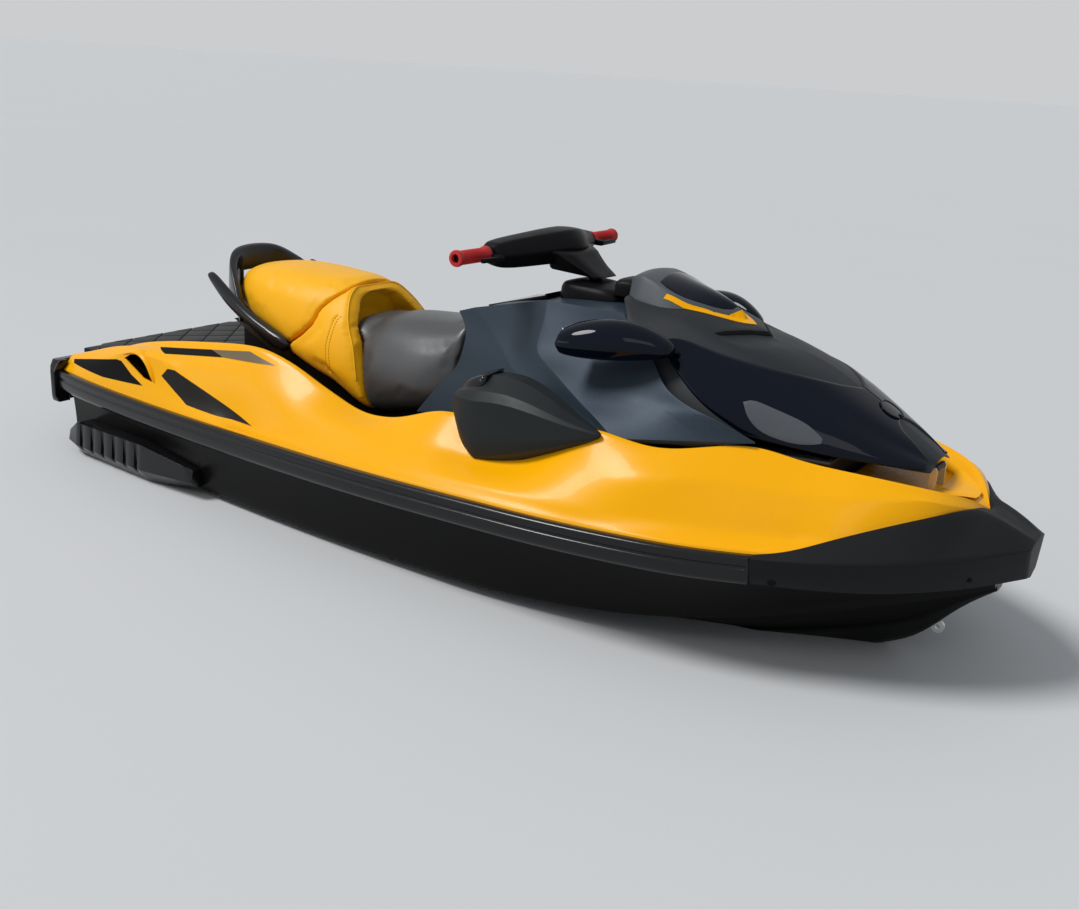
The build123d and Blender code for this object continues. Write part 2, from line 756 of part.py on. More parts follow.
def glove_cut(half, depth, extra):
    """A slab that follows the console's top over the glove box, with its ends square to that top."""
    rear, front = GLOVE_REAR_X, GLOVE_FRONT_X
    slope = atan2(glove_top(front) - glove_top(rear), front - rear)
    length = hypot(front - rear, glove_top(front) - glove_top(rear))
    place = Location((rear, 0, glove_top(rear)), (0, -degrees(slope), 0))
    return place * block(-extra, length + extra, -half, half, -depth, 60)


def make_console():
    body = skin(PANEL_REAR_X, CONSOLE_FRONT_X, console_section)
    body -= glove_cut(GLOVE_HALF, GLOVE_DEPTH, 0)
    body -= glove_cut(GLOVE_HALF + GLOVE_LEDGE, GLOVE_LID_THICK + SEAM, GLOVE_LEDGE)
    body -= column_bore(SHAFT_RADIUS + FIT, 300)
    return body


def glove_hinge():
    """The glove box lid's hinge, at the top of its front edge: (x, z)."""
    slope = atan2(glove_top(GLOVE_FRONT_X) - glove_top(GLOVE_REAR_X), GLOVE_FRONT_X - GLOVE_REAR_X)
    beyond = GLOVE_LEDGE - RUN
    return (GLOVE_FRONT_X + beyond * cos(slope), glove_top(GLOVE_FRONT_X) + beyond * sin(slope))


def make_glove_lid():
    rear, front = GLOVE_REAR_X, GLOVE_FRONT_X
    slope = atan2(glove_top(front) - glove_top(rear), front - rear)
    length = hypot(front - rear, glove_top(front) - glove_top(rear))
    place = Location((rear, 0, glove_top(rear)), (0, -degrees(slope), 0))
    half = GLOVE_HALF + GLOVE_LEDGE - RUN
    reach = GLOVE_LEDGE - RUN
    hinge_x, hinge_z = glove_hinge()
    barrel = rod((hinge_x, -half, hinge_z), (hinge_x, half, hinge_z), GLOVE_BARREL)
    return place * block(-reach, length + reach, -half, half, -GLOVE_LID_THICK, 0) + barrel


def column_plane():
    """The steering axis: its origin on the console and its direction up along the column."""
    lean = radians(COLUMN_RAKE)
    return Plane(origin=(COLUMN_X, 0, COLUMN_Z), x_dir=(0, 1, 0), z_dir=(-sin(lean), 0, cos(lean)))


def column_bore(radius, length):
    return column_plane() * Cylinder(radius, length)


# The boot's rows: height, rear and front ends, half width
BOOT = ((926, 268, 468, 80), (966, 276, 458, 66), (992, 310, 400, 44))


def make_steering_column():
    """The fixed boot that rises from the console round the steering shaft."""
    wires = []
    for z, rear, front, half in BOOT:
        points = nipped(rear, front, half, half * 0.35)
        wires.append(Wire.make_polygon([Vector(x, y, z) for x, y in points], close=True))
    return ruled_loft(wires) - column_bore(SHAFT_RADIUS + FIT, 300)


def make_gauge():
    """The round-cornered instrument ahead of the bars, tilted towards the rider."""
    rear, front = CONSOLE_FRONT_X - 118, CONSOLE_FRONT_X - 50
    low = max(glove_top(x) for x in cuts(rear, front)) + SEAM
    return side_extrude([(rear, low), (front, low), (front, low + 46), (front - 16, low + 50)], -66, 66)


# Knee pods beside the console. Columns: x, inner and outer half breadth, underside, top
POD = (
    (208, 354, 450, 672, 722),
    (236, 350, 476, 628, 744),
    (266, 350, 486, 572, 760),
    (304, 352, 490, 538, 772),
    (390, 360, 490, 560, 780),
    (500, 380, 482, 606, 752),
    (600, 408, 462, 652, 710),
    (672, 424, 440, 684, 696),
)


def make_pod():
    wires = []
    for x, inner, outer, low, top in widened(POD):
        chamfer = (outer - inner) * 0.24
        points = [
            (inner, low), (outer - chamfer * 0.5, low), (outer, between(low, top, 0.3)),
            (outer - chamfer * 0.3, between(low, top, 0.8)), (outer - chamfer * 1.4, top), (inner, top + 4),
        ]
        wires.append(upright_wire(x, points))
    return ruled_loft(wires)


# Front storage lid. Lines: centre height, shoulder, lower edge
HOOD_TOP = Line(
    (560, 0, 1004), (690, 0, 1004), (827, 0, 970), (979, 0, 928), (1075, 0, 897), (1144, 0, 864),
    (1213, 0, 825), (1256, 0, 799), (1350, 0, 744), (1406, 0, 704),
)
HOOD_SHOULDER = Line(
    (560, 150, 980), (690, 166, 950), (850, 172, 900), (1000, 166, 854), (1150, 146, 798), (1293, 104, 732),
    (1406, 46, 694),
)
HOOD_SWELL = 0.5
HOOD_EDGE = Line(
    (560, 226, 900), (690, 262, 800), (850, 274, 752), (1000, 262, 726), (1150, 226, 716), (1293, 160, 708),
    (1406, 76, 692),
)
HOOD_REAR_X = 580.0
HOOD_FRONT_X = 1400.0


def hood_section(x):
    _, top_z = HOOD_TOP.at(x)
    shoulder_y, shoulder_z = HOOD_SHOULDER.at(x)
    edge_y, edge_z = HOOD_EDGE.at(x)
    wall = HOOD_WALL
    mid = (between(shoulder_y, edge_y, 0.62), between(shoulder_z, edge_z, 0.45))
    outer = [
        (0, top_z), (shoulder_y * 0.75, between(top_z, shoulder_z, HOOD_SWELL)), (shoulder_y, shoulder_z),
        mid, (edge_y, edge_z),
    ]
    inner = [(max(y - wall, 0), z - wall * 0.8) for y, z in outer]
    inner[0] = (0, top_z - wall)
    inner[-1] = (edge_y - wall * 1.4, edge_z)
    ring = outer + list(reversed(inner))
    return ring


def make_hood():
    half = skin(stretched(HOOD_REAR_X), stretched(HOOD_FRONT_X), hood_section)
    x, z = stretched(HOOD_HINGE_X), HOOD_HINGE_Z
    knuckle = rod((x, -KNUCKLE_HALF, z), (x, KNUCKLE_HALF, z), KNUCKLE_RADIUS)
    knuckle += block(x - 7, x + 5, -KNUCKLE_HALF, KNUCKLE_HALF, z, HOOD_EDGE.at(x)[1] + 4)
    hood = half + starboard(half) + knuckle
    return hood - rod((x, -KNUCKLE_HALF - 1, z), (x, KNUCKLE_HALF + 1, z), HOOD_PIN + FIT)


def make_lid_hinge(deck):
    """The lid's fixed hinge: two ears on the bow deck, and the pin between them."""
    x, z = stretched(HOOD_HINGE_X), HOOD_HINGE_Z
    inner = KNUCKLE_HALF + 2
    hinge = rod((x, -inner - EAR_THICK, z), (x, inner + EAR_THICK, z), HOOD_PIN)
    for side in (1, -1):
        low_y, high_y = sorted((side * inner, side * (inner + EAR_THICK)))
        hinge += rod((x, low_y, z), (x, high_y, z), KNUCKLE_RADIUS - 2)
        hinge += block(x - 8, x + 8, low_y, high_y, z - 70, z)
    return hinge - deck


def hood_envelope(grow):
    """The lid filled in and grown by a clearance, which its neighbours are cut back from."""
    def section(x):
        _, top_z = HOOD_TOP.at(x)
        shoulder_y, shoulder_z = HOOD_SHOULDER.at(x)
        edge_y, edge_z = HOOD_EDGE.at(x)
        mid = (between(shoulder_y, edge_y, 0.62) + grow, between(shoulder_z, edge_z, 0.45) + grow)
        half = [
            (0, edge_z - grow), (edge_y + grow, edge_z - grow), mid, (shoulder_y + grow, shoulder_z + grow),
            (0, top_z + grow),
        ]
        return both_sides(half)
    return skin(stretched(HOOD_REAR_X) - grow, stretched(HOOD_FRONT_X) + grow, section)


def panel_on_hood(rear, front, breadth, lift):
    """A panel that lies on the lid's top, as wide as a share of the shoulder."""
    def section(x):
        _, top_z = HOOD_TOP.at(x)
        shoulder_y, shoulder_z = HOOD_SHOULDER.at(x)
        side_y = shoulder_y * 0.75 * breadth
        side_z = between(top_z, between(top_z, shoulder_z, HOOD_SWELL), breadth)
        half = [(0, top_z + SEAM), (side_y, side_z + SEAM), (side_y - 5, side_z + lift), (0, top_z + lift)]
        return both_sides(half)
    return skin(stretched(rear), stretched(front), section)


def make_hood_panel():
    return panel_on_hood(770, 1240, 0.98, 6)


DEFLECTOR = Line((560, 92, 1040), (620, 108, 1056), (690, 118, 1032), (780, 124, 1008))


def make_deflector():
    """The raised hump at the lid's rear edge, ahead of the gauge."""
    def section(x):
        _, top_z = HOOD_TOP.at(x)
        shoulder_y, shoulder_z = HOOD_SHOULDER.at(x)
        half_width, crown_z = DEFLECTOR.at(x)
        half_width = min(half_width, shoulder_y * 0.75 - 1)
        side_z = between(top_z, between(top_z, shoulder_z, HOOD_SWELL), half_width / (shoulder_y * 0.75))
        half = [(0, top_z + SEAM), (half_width, side_z + SEAM), (half_width - 26, crown_z - 5), (0, crown_z)]
        return both_sides(half)
    return skin(stretched(HOOD_REAR_X), stretched(764), section)


# Mirror pods on the lid's flanks. Columns: x, inner and outer half breadth, underside, top
MIRROR = (
    (492, 292, 392, 866, 942),
    (540, 284, 398, 858, 956),
    (640, 226, 372, 862, 962),
    (760, 236, 300, 880, 930),
)


def mirror_pod(grow):
    """A mirror pod's outer form, grown all round by a clearance."""
    wires = []
    for row, step in zip(MIRROR, (-grow, 0, 0, grow)):
        x, inner, outer, low, top = row
        points = [
            (inner - grow, low + 12 - grow), (between(inner, outer, 0.7), low - grow),
            (outer + grow, between(low, top, 0.4)), (between(inner, outer, 0.86) + grow, top - 8 + grow),
            (between(inner, outer, 0.4), top + grow), (inner - grow, top - 6 + grow),
        ]
        wires.append(upright_wire(x + step, points))
    return ruled_loft(wires)


def make_mirror_glass():
    x, inner, outer, low, top = MIRROR[0]
    return block(x - 4, x - SEAM, inner + 8, outer - 22, low + 14, top - 14)


# The low fairing at the head of the bow well. Columns: x, half breadth, underside, top
NOSE_TRIM = ((1416, 70, 600, 652), (1450, 50, 600, 648), (1480, 22, 600, 640))


def make_nose_trim():
    """The grey tip ahead of the lid, fixed to the deck."""
    wires = []
    for x, half_width, low, top in NOSE_TRIM:
        half = [(0, low), (half_width, low), (half_width - 10, top - 4), (0, top)]
        wires.append(upright_wire(stretched(x), both_sides(half)))
    return ruled_loft(wires)


def bin_rear_x():
    return CONSOLE_FRONT_X + BIN_LEDGE + SEAM


def bin_box(inset, top):
    """The storage bin's box, drawn in by an inset."""
    front = stretched(BIN_FRONT_X)
    return block(
        bin_rear_x() + inset, front - inset, inset - BIN_HALF, BIN_HALF - inset, BIN_FLOOR_Z + inset, top
    )


def make_storage_bin():
    front = stretched(BIN_FRONT_X)
    half = [
        (x, max(CREST.at(x)[0] - DECK_WALL - SEAM, BIN_HALF + BIN_LEDGE))
        for x in cuts(bin_rear_x() - BIN_LEDGE, front + BIN_LEDGE)
    ]
    rim = plan_extrude(half + [(x, -y) for x, y in reversed(half)], BIN_RIM_Z - BIN_LEDGE, BIN_RIM_Z)
    return bin_box(0, BIN_RIM_Z) + rim - bin_box(BIN_WALL, BIN_RIM_Z + 10)


# The bars' stem from the boot upwards: rear and front ends, half breadth, height at the rear, and slope
STEM = (
    (214, 392, 48, 1014, 0.04),
    (212, 352, 60, 1040, 0.10),
    (196, 300, 92, 1070, 0.06),
)
# The bars' cover from the middle outwards: y, centre x and z, half length, half height
COVER = (
    (0, 234, 1080, 64, 46),
    (70, 220, 1076, 60, 44),
    (130, 186, 1066, 50, 38),
    (190, 154, 1058, 38, 29),
    (234, 148, 1056, 24, 21),
)
COVER_END = 200.0


def mirrored_rows(rows):
    """A table of rows from the middle outwards, with the other side's rows before it."""
    return [(-row[0], *row[1:]) for row in reversed(rows) if row[0] > 0] + list(rows)


def make_handlebar():
    """The steering shaft, the stem and the cover over the bars, and the bars inside the grips."""
    plane = column_plane()
    shaft = plane * Cylinder(SHAFT_RADIUS, COLUMN_LENGTH + 70)
    stem_wires = []
    for rear, front, half_y, z, slope in STEM:
        points = [Vector(x, y, z - slope * (x - rear)) for x, y in nipped(rear, front, half_y, half_y * 0.3)]
        stem_wires.append(Wire.make_polygon(points, close=True))
    stem = ruled_loft(stem_wires)
    pad_wires = []
    for y, x, z, half_x, half_z in mirrored_rows(COVER):
        points = [
            (-half_x, -half_z * 0.6), (half_x * 0.6, -half_z), (half_x, 0), (half_x * 0.5, half_z),
            (-half_x * 0.7, half_z),
        ]
        pad_wires.append(Wire.make_polygon([Vector(x + dx, y, z + dz) for dx, dz in points], close=True))
    pad = ruled_loft(pad_wires)
    bars = shaft + stem + pad
    grip_end = GRIP_INNER_Y + GRIP_LENGTH - 8
    for side in (1, -1):
        bars += rod((GRIP_X, side * COVER_END, GRIP_Z), (GRIP_X, side * grip_end, GRIP_Z), BAR_RADIUS)
    return bars


def make_grip():
    y0, y1 = GRIP_INNER_Y + 14, GRIP_INNER_Y + GRIP_LENGTH
    body = rod((GRIP_X, y0, GRIP_Z), (GRIP_X, y1, GRIP_Z), GRIP_RADIUS)
    body += rod((GRIP_X, y0, GRIP_Z), (GRIP_X, y0 + 8, GRIP_Z), GRIP_RADIUS + 5)
    body += rod((GRIP_X, y1 - 8, GRIP_Z), (GRIP_X, y1, GRIP_Z), GRIP_RADIUS + 3)
    return body - rod((GRIP_X, y0 - 1, GRIP_Z), (GRIP_X, y1 + 1, GRIP_Z), BAR_RADIUS + FIT)


def make_lever(side):
    """A finger lever ahead of a grip, with its clamp round the bar."""
    y0 = GRIP_INNER_Y - 20
    clamp = rod((GRIP_X, side * (y0 + 8), GRIP_Z), (GRIP_X, side * (y0 + 32), GRIP_Z), BAR_RADIUS + 9)
    arm_y = sorted((side * (y0 + 10), side * (y0 + 30)))
    clamp += block(GRIP_X + 8, GRIP_X + 52, *arm_y, GRIP_Z - 14, GRIP_Z + 2)
    reach = [(GRIP_X + 40, y0 + 12), (GRIP_X + 58, y0 + 14), (GRIP_X + 50, y0 + 100), (GRIP_X + 40, y0 + 98)]
    blade = plan_extrude([(x, side * y) for x, y in reach], GRIP_Z - 12, GRIP_Z)
    lever = clamp + blade
    lever -= rod((GRIP_X, side * (y0 - 30), GRIP_Z), (GRIP_X, side * (y0 + 60), GRIP_Z), BAR_RADIUS + FIT)
    return lever


# Jet drive
def pump_rear_x():
    return TUNNEL_FRONT_X - PUMP_LENGTH


def spigot_end_x():
    return pump_rear_x() - VENTURI_LENGTH - SPIGOT_LENGTH


def nozzle_pivot_x():
    """The steering nozzle turns about an upright axis just ahead of the spigot's end."""
    return spigot_end_x() + 5


def bucket_pivot_x():
    """The reverse bucket's pivot, on both sides of the venturi."""
    return pump_rear_x() - VENTURI_LENGTH + 22


def tail_cone(start_x, length, front_radius, rear_radius):
    """A round stretch of the jet drive that runs aft from start_x, straight or tapering."""
    if front_radius == rear_radius:
        return rod((start_x - length, 0, PUMP_Z), (start_x, 0, PUMP_Z), front_radius)
    plane = Plane(origin=(start_x, 0, PUMP_Z), z_dir=(-1, 0, 0))
    return plane * Cone(front_radius, rear_radius, length, align=(Align.CENTER, Align.CENTER, Align.MIN))


def make_jet_pump():
    """Wear ring, stator with its vanes, venturi and spigot, and the bosses that carry the bucket."""
    front = TUNNEL_FRONT_X - SEAM
    rear = pump_rear_x()
    outer = PUMP_BORE / 2 + PUMP_WALL
    spigot = NOZZLE_BORE / 2 + SPIGOT_WALL
    housing = rod((rear, 0, PUMP_Z), (front, 0, PUMP_Z), outer)
    housing += rod((front - PUMP_FLANGE, 0, PUMP_Z), (front, 0, PUMP_Z), outer + 14)
    housing += tail_cone(rear, VENTURI_LENGTH, outer, spigot)
    housing += tail_cone(rear - VENTURI_LENGTH, SPIGOT_LENGTH, spigot, spigot)
    pivot = bucket_pivot_x()
    boss_y = BUCKET_HALF - BUCKET_WALL - RUN
    housing += rod((pivot, -boss_y, PUMP_Z), (pivot, boss_y, PUMP_Z), 15)
    housing += rod((pivot, -BUCKET_HALF - 4, PUMP_Z), (pivot, BUCKET_HALF + 4, PUMP_Z), BUCKET_PIN)
    housing -= rod((rear, 0, PUMP_Z), (front + 1, 0, PUMP_Z), PUMP_BORE / 2)
    housing -= tail_cone(rear, VENTURI_LENGTH, PUMP_BORE / 2, NOZZLE_BORE / 2)
    housing -= tail_cone(rear - VENTURI_LENGTH, SPIGOT_LENGTH + 1, NOZZLE_BORE / 2, NOZZLE_BORE / 2)
    pivot = nozzle_pivot_x()
    for side in (1, -1):
        foot = PUMP_Z + side * (spigot - 3)
        bell = PUMP_Z + side * (BELL_RADIUS - 1)
        end = PUMP_Z + side * (BELL_RADIUS + NOZZLE_WALL + 2)
        housing += rod((pivot, 0, foot), (pivot, 0, bell), NOZZLE_PIN + 4)
        housing += rod((pivot, 0, foot), (pivot, 0, end), NOZZLE_PIN)
    stator = rod((rear - 10, 0, PUMP_Z), (rear + STATOR_LENGTH, 0, PUMP_Z), HUB_RADIUS)
    for k in range(STATOR_VANES):
        vane = block(rear + 4, rear + STATOR_LENGTH - 10, -3, 3, HUB_RADIUS - 8, PUMP_BORE / 2 + 4)
        stator += Pos(0, 0, PUMP_Z) * Rot(k * 360 / STATOR_VANES, 0, 0) * vane
    return housing + stator


def make_impeller():
    x0 = pump_rear_x() + STATOR_LENGTH + RUN
    x1 = TUNNEL_FRONT_X - PUMP_FLANGE - RUN
    middle = (x0 + x1) / 2
    tip = PUMP_BORE / 2 - BLADE_GAP
    hub = rod((x0, 0, PUMP_Z), (x1, 0, PUMP_Z), HUB_RADIUS)
    nose = Plane(origin=(x1, 0, PUMP_Z), z_dir=(1, 0, 0)) * Cone(
        HUB_RADIUS, SHAFT_TO_IMPELLER, 46, align=(Align.CENTER, Align.CENTER, Align.MIN)
    )
    hub += nose
    hub += rod((x1 + 40, 0, PUMP_Z), (BAY_REAR_X + 12, 0, PUMP_Z), SHAFT_TO_IMPELLER)
    for k in range(BLADES):
        reach = (x1 - x0) / 2 - 4
        blade = block(-reach, reach, -BLADE_THICK / 2, BLADE_THICK / 2, HUB_RADIUS - 8, tip + 9)
        pitched = Rot(0, 0, BLADE_PITCH) * blade
        trimmed = pitched & rod((x0 - x1, 0, 0), (x1 - x0, 0, 0), tip)
        hub += Pos(middle, 0, PUMP_Z) * Rot(k * 360 / BLADES, 0, 0) * trimmed
    return hub


def make_steering_nozzle():
    """A bell that turns round the spigot, and the outlet tube behind it."""
    x = nozzle_pivot_x()
    front = x + NOZZLE_AHEAD
    bell_end = front - BELL_LENGTH
    rear = x - NOZZLE_REACH
    outer = NOZZLE_BORE / 2 + NOZZLE_WALL
    body = tail_cone(front, BELL_LENGTH, BELL_RADIUS + NOZZLE_WALL, BELL_RADIUS + NOZZLE_WALL)
    body += tail_cone(bell_end, bell_end - rear, BELL_RADIUS + NOZZLE_WALL, outer)
    body += tail_cone(rear + 10, 10, outer + 4, outer + 4)
    body -= tail_cone(front + 1, BELL_LENGTH + 1, BELL_RADIUS, BELL_RADIUS)
    body -= tail_cone(bell_end, bell_end - rear, BELL_RADIUS, NOZZLE_BORE / 2)
    body -= tail_cone(rear + 1, 2, NOZZLE_BORE / 2, NOZZLE_BORE / 2)
    reach = BELL_RADIUS + NOZZLE_WALL + 5
    return body - rod((x, 0, PUMP_Z - reach), (x, 0, PUMP_Z + reach), NOZZLE_PIN + FIT)


def make_reverse_bucket():
    """A part of a drum, closed at its cheeks, that swings down behind the nozzle."""
    x = bucket_pivot_x()
    inner_half = BUCKET_HALF - BUCKET_WALL
    drum = rod((x, -BUCKET_HALF, PUMP_Z), (x, BUCKET_HALF, PUMP_Z), BUCKET_RADIUS)
    drum -= rod((x, -inner_half, PUMP_Z), (x, inner_half, PUMP_Z), BUCKET_RADIUS - BUCKET_WALL)
    low, high = radians(BUCKET_STOW), radians(BUCKET_STOW + BUCKET_SWEEP)
    far = BUCKET_RADIUS * 1.6
    outline = [(x, PUMP_Z), (x - far * cos(low), PUMP_Z + far * sin(low)), (x - far, PUMP_Z + far)]
    outline += [(x - far * cos(high), PUMP_Z + far * sin(high))]
    bucket = drum & side_extrude(outline, -BUCKET_HALF, BUCKET_HALF)
    for side in (1, -1):
        bucket += rod((x, side * inner_half, PUMP_Z), (x, side * BUCKET_HALF, PUMP_Z), BUCKET_PIN * 2.6)
    return bucket - rod((x, -BUCKET_HALF - 1, PUMP_Z), (x, BUCKET_HALF + 1, PUMP_Z), BUCKET_PIN + FIT)


def make_ride_plate():
    half = TUNNEL_HALF - SEAM
    return block(RIDE_REAR_X, TUNNEL_FRONT_X - SEAM, -half, half, PLATE_Z, PLATE_Z + PLATE_THICK)


def make_intake_grate():
    """Bars along the intake's mouth, between two cross pieces."""
    low, high = 6, 18
    rise = (high + DUCT_BELOW) / (PUMP_Z + PUMP_BORE / 2 + DUCT_BELOW)
    front = between(INTAKE_FRONT_X, TUNNEL_FRONT_X + 100, rise) - SEAM
    rear = between(TUNNEL_FRONT_X + 60, TUNNEL_FRONT_X - 10, (low + DUCT_BELOW) / (PUMP_Z + DUCT_BELOW)) + 8
    half = INTAKE_HALF * between(1, 0.9, rise) - SEAM
    grate = block(front - 16, front, -half, half, low, high)
    grate += block(rear, rear + 16, -half, half, low, high)
    for k in range(-GRATE_BARS, GRATE_BARS + 1):
        y = k * half / (GRATE_BARS + 1)
        grate += block(rear, front, y - 4, y + 4, low - 2, high)
    return grate


# Sponsons. Columns: x, inner and outer half breadth, underside, top
SPONSON = (
    (-1445, 500, 560, 196, 250),
    (-1380, 500, 576, 168, 292),
    (-1000, 500, 590, 168, 300),
    (-760, 520, 578, 206, 268),
)


SPONSON_RIBS = 6
RIB_GROOVE = 18.0
GROOVE_DEPTH = 9.0


def make_sponson(hull):
    """A pod under the stern's side, with upright grooves along its outer face."""
    wires = []
    rows = widened(SPONSON)
    for x, inner, outer, low, top in rows:
        points = [
            (inner, low + 6), (outer - 30, low), (outer, between(low, top, 0.35)), (outer - 8, top),
            (inner, top),
        ]
        wires.append(upright_wire(x, points))
    pod = ruled_loft(wires) - hull
    rear, front = rows[1][0], rows[2][0]
    outer = max(row[2] for row in rows)
    for k in range(SPONSON_RIBS):
        x = between(rear, front, (k + 0.5) / SPONSON_RIBS)
        face = between(rows[1][2], rows[2][2], (k + 0.5) / SPONSON_RIBS)
        pod -= block(x - RIB_GROOVE / 2, x + RIB_GROOVE / 2, face - GROOVE_DEPTH, outer + 5, 196, 320)
    return max(pod.solids(), key=lambda solid: solid.volume)


def make_eye(x, y, z, depth):
    """A towing eye: a plate with a bore across, and its stem to the hull."""
    plate = rod((x, y - EYE_WIRE / 2, z), (x, y + EYE_WIRE / 2, z), EYE_BORE / 2 + EYE_WIRE)
    stem_x0, stem_x1 = sorted((x, x + depth))
    plate += block(stem_x0, stem_x1, y - EYE_WIRE / 2, y + EYE_WIRE / 2, z - 9, z + 9)
    return plate - rod((x, y - EYE_WIRE, z), (x, y + EYE_WIRE, z), EYE_BORE / 2)


def make_cleat():
    """A cargo anchor on the platform: a low post with a head."""
    x, y = PLATFORM_FRONT_X - 11, 300
    low = PLATFORM_Z
    post = rod((x, y, low), (x, y, low + 22), 9)
    return post + rod((x, y, low + 22), (x, y, low + 30), 16)


def build_all():
    hull = make_hull()
    deck = make_deck()
    nodes = {"hull": hull, "deck": deck, "engine_block": make_engine_block()}
    rail = make_rail()
    nodes["rail_port"] = rail
    nodes["rail_starboard"] = starboard(rail)
    nodes["bow_bumper"] = make_bow_bumper(deck, hull)
    corner = make_stern_corner() - deck - rail
    nodes["stern_corner_port"] = corner
    nodes["stern_corner_starboard"] = starboard(corner)
    nodes["swim_platform"] = make_swim_platform() - deck
    nodes["platform_mat"] = make_platform_mat()
    mat = make_footwell_mat()
    nodes["footwell_mat_port"] = mat
    nodes["footwell_mat_starboard"] = starboard(mat)
    nodes["seat_rear"] = make_seat(SEAT_REAR)
    nodes["seat_bolster"] = make_seat_bolster()
    nodes["seat_front"] = make_seat_front()
    nodes["seat_base"] = make_seat_base() - hull - nodes["swim_platform"]
    nodes["grab_handle"] = make_grab_handle() - nodes["seat_rear"] - nodes["seat_base"]
    pod = make_pod()
    panel = make_side_panel() - deck - hood_envelope(HOOD_GAP) - mirror_pod(HOOD_GAP)
    nodes["storage_bin"] = make_storage_bin()
    nodes["console"] = make_console()
    panel = panel - nodes["storage_bin"] - nodes["seat_base"] - nodes["console"]
    panel = max(panel.solids(), key=lambda solid: solid.volume)
    nodes["side_panel_port"] = panel - pod
    nodes["side_panel_starboard"] = starboard(nodes["side_panel_port"])
    nodes["knee_pod_port"] = pod - deck
    nodes["knee_pod_starboard"] = starboard(nodes["knee_pod_port"])
    nodes["glove_lid"] = make_glove_lid()
    nodes["steering_column"] = make_steering_column() - nodes["console"]
    nodes["gauge"] = make_gauge()
    nodes["hood"] = make_hood()
    nodes["lid_hinge"] = make_lid_hinge(deck)
    nodes["hood_panel"] = make_hood_panel()
    nodes["deflector"] = make_deflector()
    mirror_housing = mirror_pod(0) - nodes["hood"]
    mirror_housing = max(mirror_housing.solids(), key=lambda solid: solid.volume)
    nodes["mirror_housing_port"] = mirror_housing
    nodes["mirror_housing_starboard"] = starboard(mirror_housing)
    glass = make_mirror_glass()
    nodes["mirror_glass_port"] = glass
    nodes["mirror_glass_starboard"] = starboard(glass)
    nodes["nose_trim"] = make_nose_trim() - deck
    nodes["handlebar"] = make_handlebar()
    grip = make_grip()
    nodes["grip_port"] = grip
    nodes["grip_starboard"] = starboard(grip)
    nodes["throttle_lever"] = make_lever(-1) - nodes["handlebar"]
    nodes["brake_lever"] = make_lever(1) - nodes["handlebar"]
    nodes["jet_pump"] = make_jet_pump()
    nodes["impeller"] = make_impeller()
    nodes["steering_nozzle"] = make_steering_nozzle()
    nodes["reverse_bucket"] = make_reverse_bucket()
    nodes["ride_plate"] = make_ride_plate()
    nodes["intake_grate"] = make_intake_grate()
    sponson = make_sponson(hull)
    nodes["sponson_port"] = sponson
    nodes["sponson_starboard"] = starboard(sponson)
    nodes["bow_eye"] = make_eye(stretched(BOW_EYE_X), 0, BOW_EYE_Z, -60) - hull
    stern_eye = make_eye(TRANSOM_X - 24, STERN_EYE_Y, STERN_EYE_Z, 24 - SEAM)
    nodes["stern_eye_port"] = stern_eye
    nodes["stern_eye_starboard"] = starboard(stern_eye)
    cleat = make_cleat()
    nodes["cargo_anchor_port"] = cleat
    nodes["cargo_anchor_starboard"] = starboard(cleat)
    return nodes


NODES = build_all()
os.makedirs("parts", exist_ok=True)
for name, shape in NODES.items():
    export_step(Pos(0, 0, -DRAFT) * shape, f"parts/{name}.step")
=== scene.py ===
import math

import bmesh
import bpy
from mathutils import Matrix, Vector
from mathutils.bvhtree import BVHTree


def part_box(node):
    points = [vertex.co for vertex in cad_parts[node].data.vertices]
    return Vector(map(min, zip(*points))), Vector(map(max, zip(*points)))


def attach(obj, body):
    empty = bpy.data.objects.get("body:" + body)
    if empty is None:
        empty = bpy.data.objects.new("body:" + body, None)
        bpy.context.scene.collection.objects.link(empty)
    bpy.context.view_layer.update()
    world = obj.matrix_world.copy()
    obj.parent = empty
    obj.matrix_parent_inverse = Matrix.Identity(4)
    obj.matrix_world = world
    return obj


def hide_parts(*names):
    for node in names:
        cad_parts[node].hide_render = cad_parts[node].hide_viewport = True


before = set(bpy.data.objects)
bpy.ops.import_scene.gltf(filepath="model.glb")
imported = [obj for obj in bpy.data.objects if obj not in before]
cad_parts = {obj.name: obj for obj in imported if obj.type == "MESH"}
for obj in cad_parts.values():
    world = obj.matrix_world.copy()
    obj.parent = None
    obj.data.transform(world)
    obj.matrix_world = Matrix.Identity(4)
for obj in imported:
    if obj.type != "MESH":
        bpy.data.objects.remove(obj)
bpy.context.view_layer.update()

bl_info = {
    "name": "Personal watercraft",
    "version": (1, 0, 0),
    "blender": (4, 5, 0),
    "location": "3D View > Sidebar > Watercraft",
    "description": "Builds the looks of a jet-driven personal watercraft round its solid parts",
    "category": "Object",
}

DRAFT = 0.170  # metres from the keel up to the waterline
SIDES = ((1, "port"), (-1, "starboard"))


# lines and forms
# Every table below is in millimetres: x towards the bow, y half breadth, z above the keel.

def spot(x, y, z):
    """A place in the tables' millimetres, as a point of the frame in metres."""
    return Vector((x / 1000, y / 1000, z / 1000 - DRAFT))


def mix(a, b, t):
    return a + (b - a) * t


def ramp(x, low, high):
    """0 below low, 1 above high, and smooth between them."""
    t = min(1.0, max(0.0, (x - low) / (high - low)))
    return t * t * (3 - 2 * t)


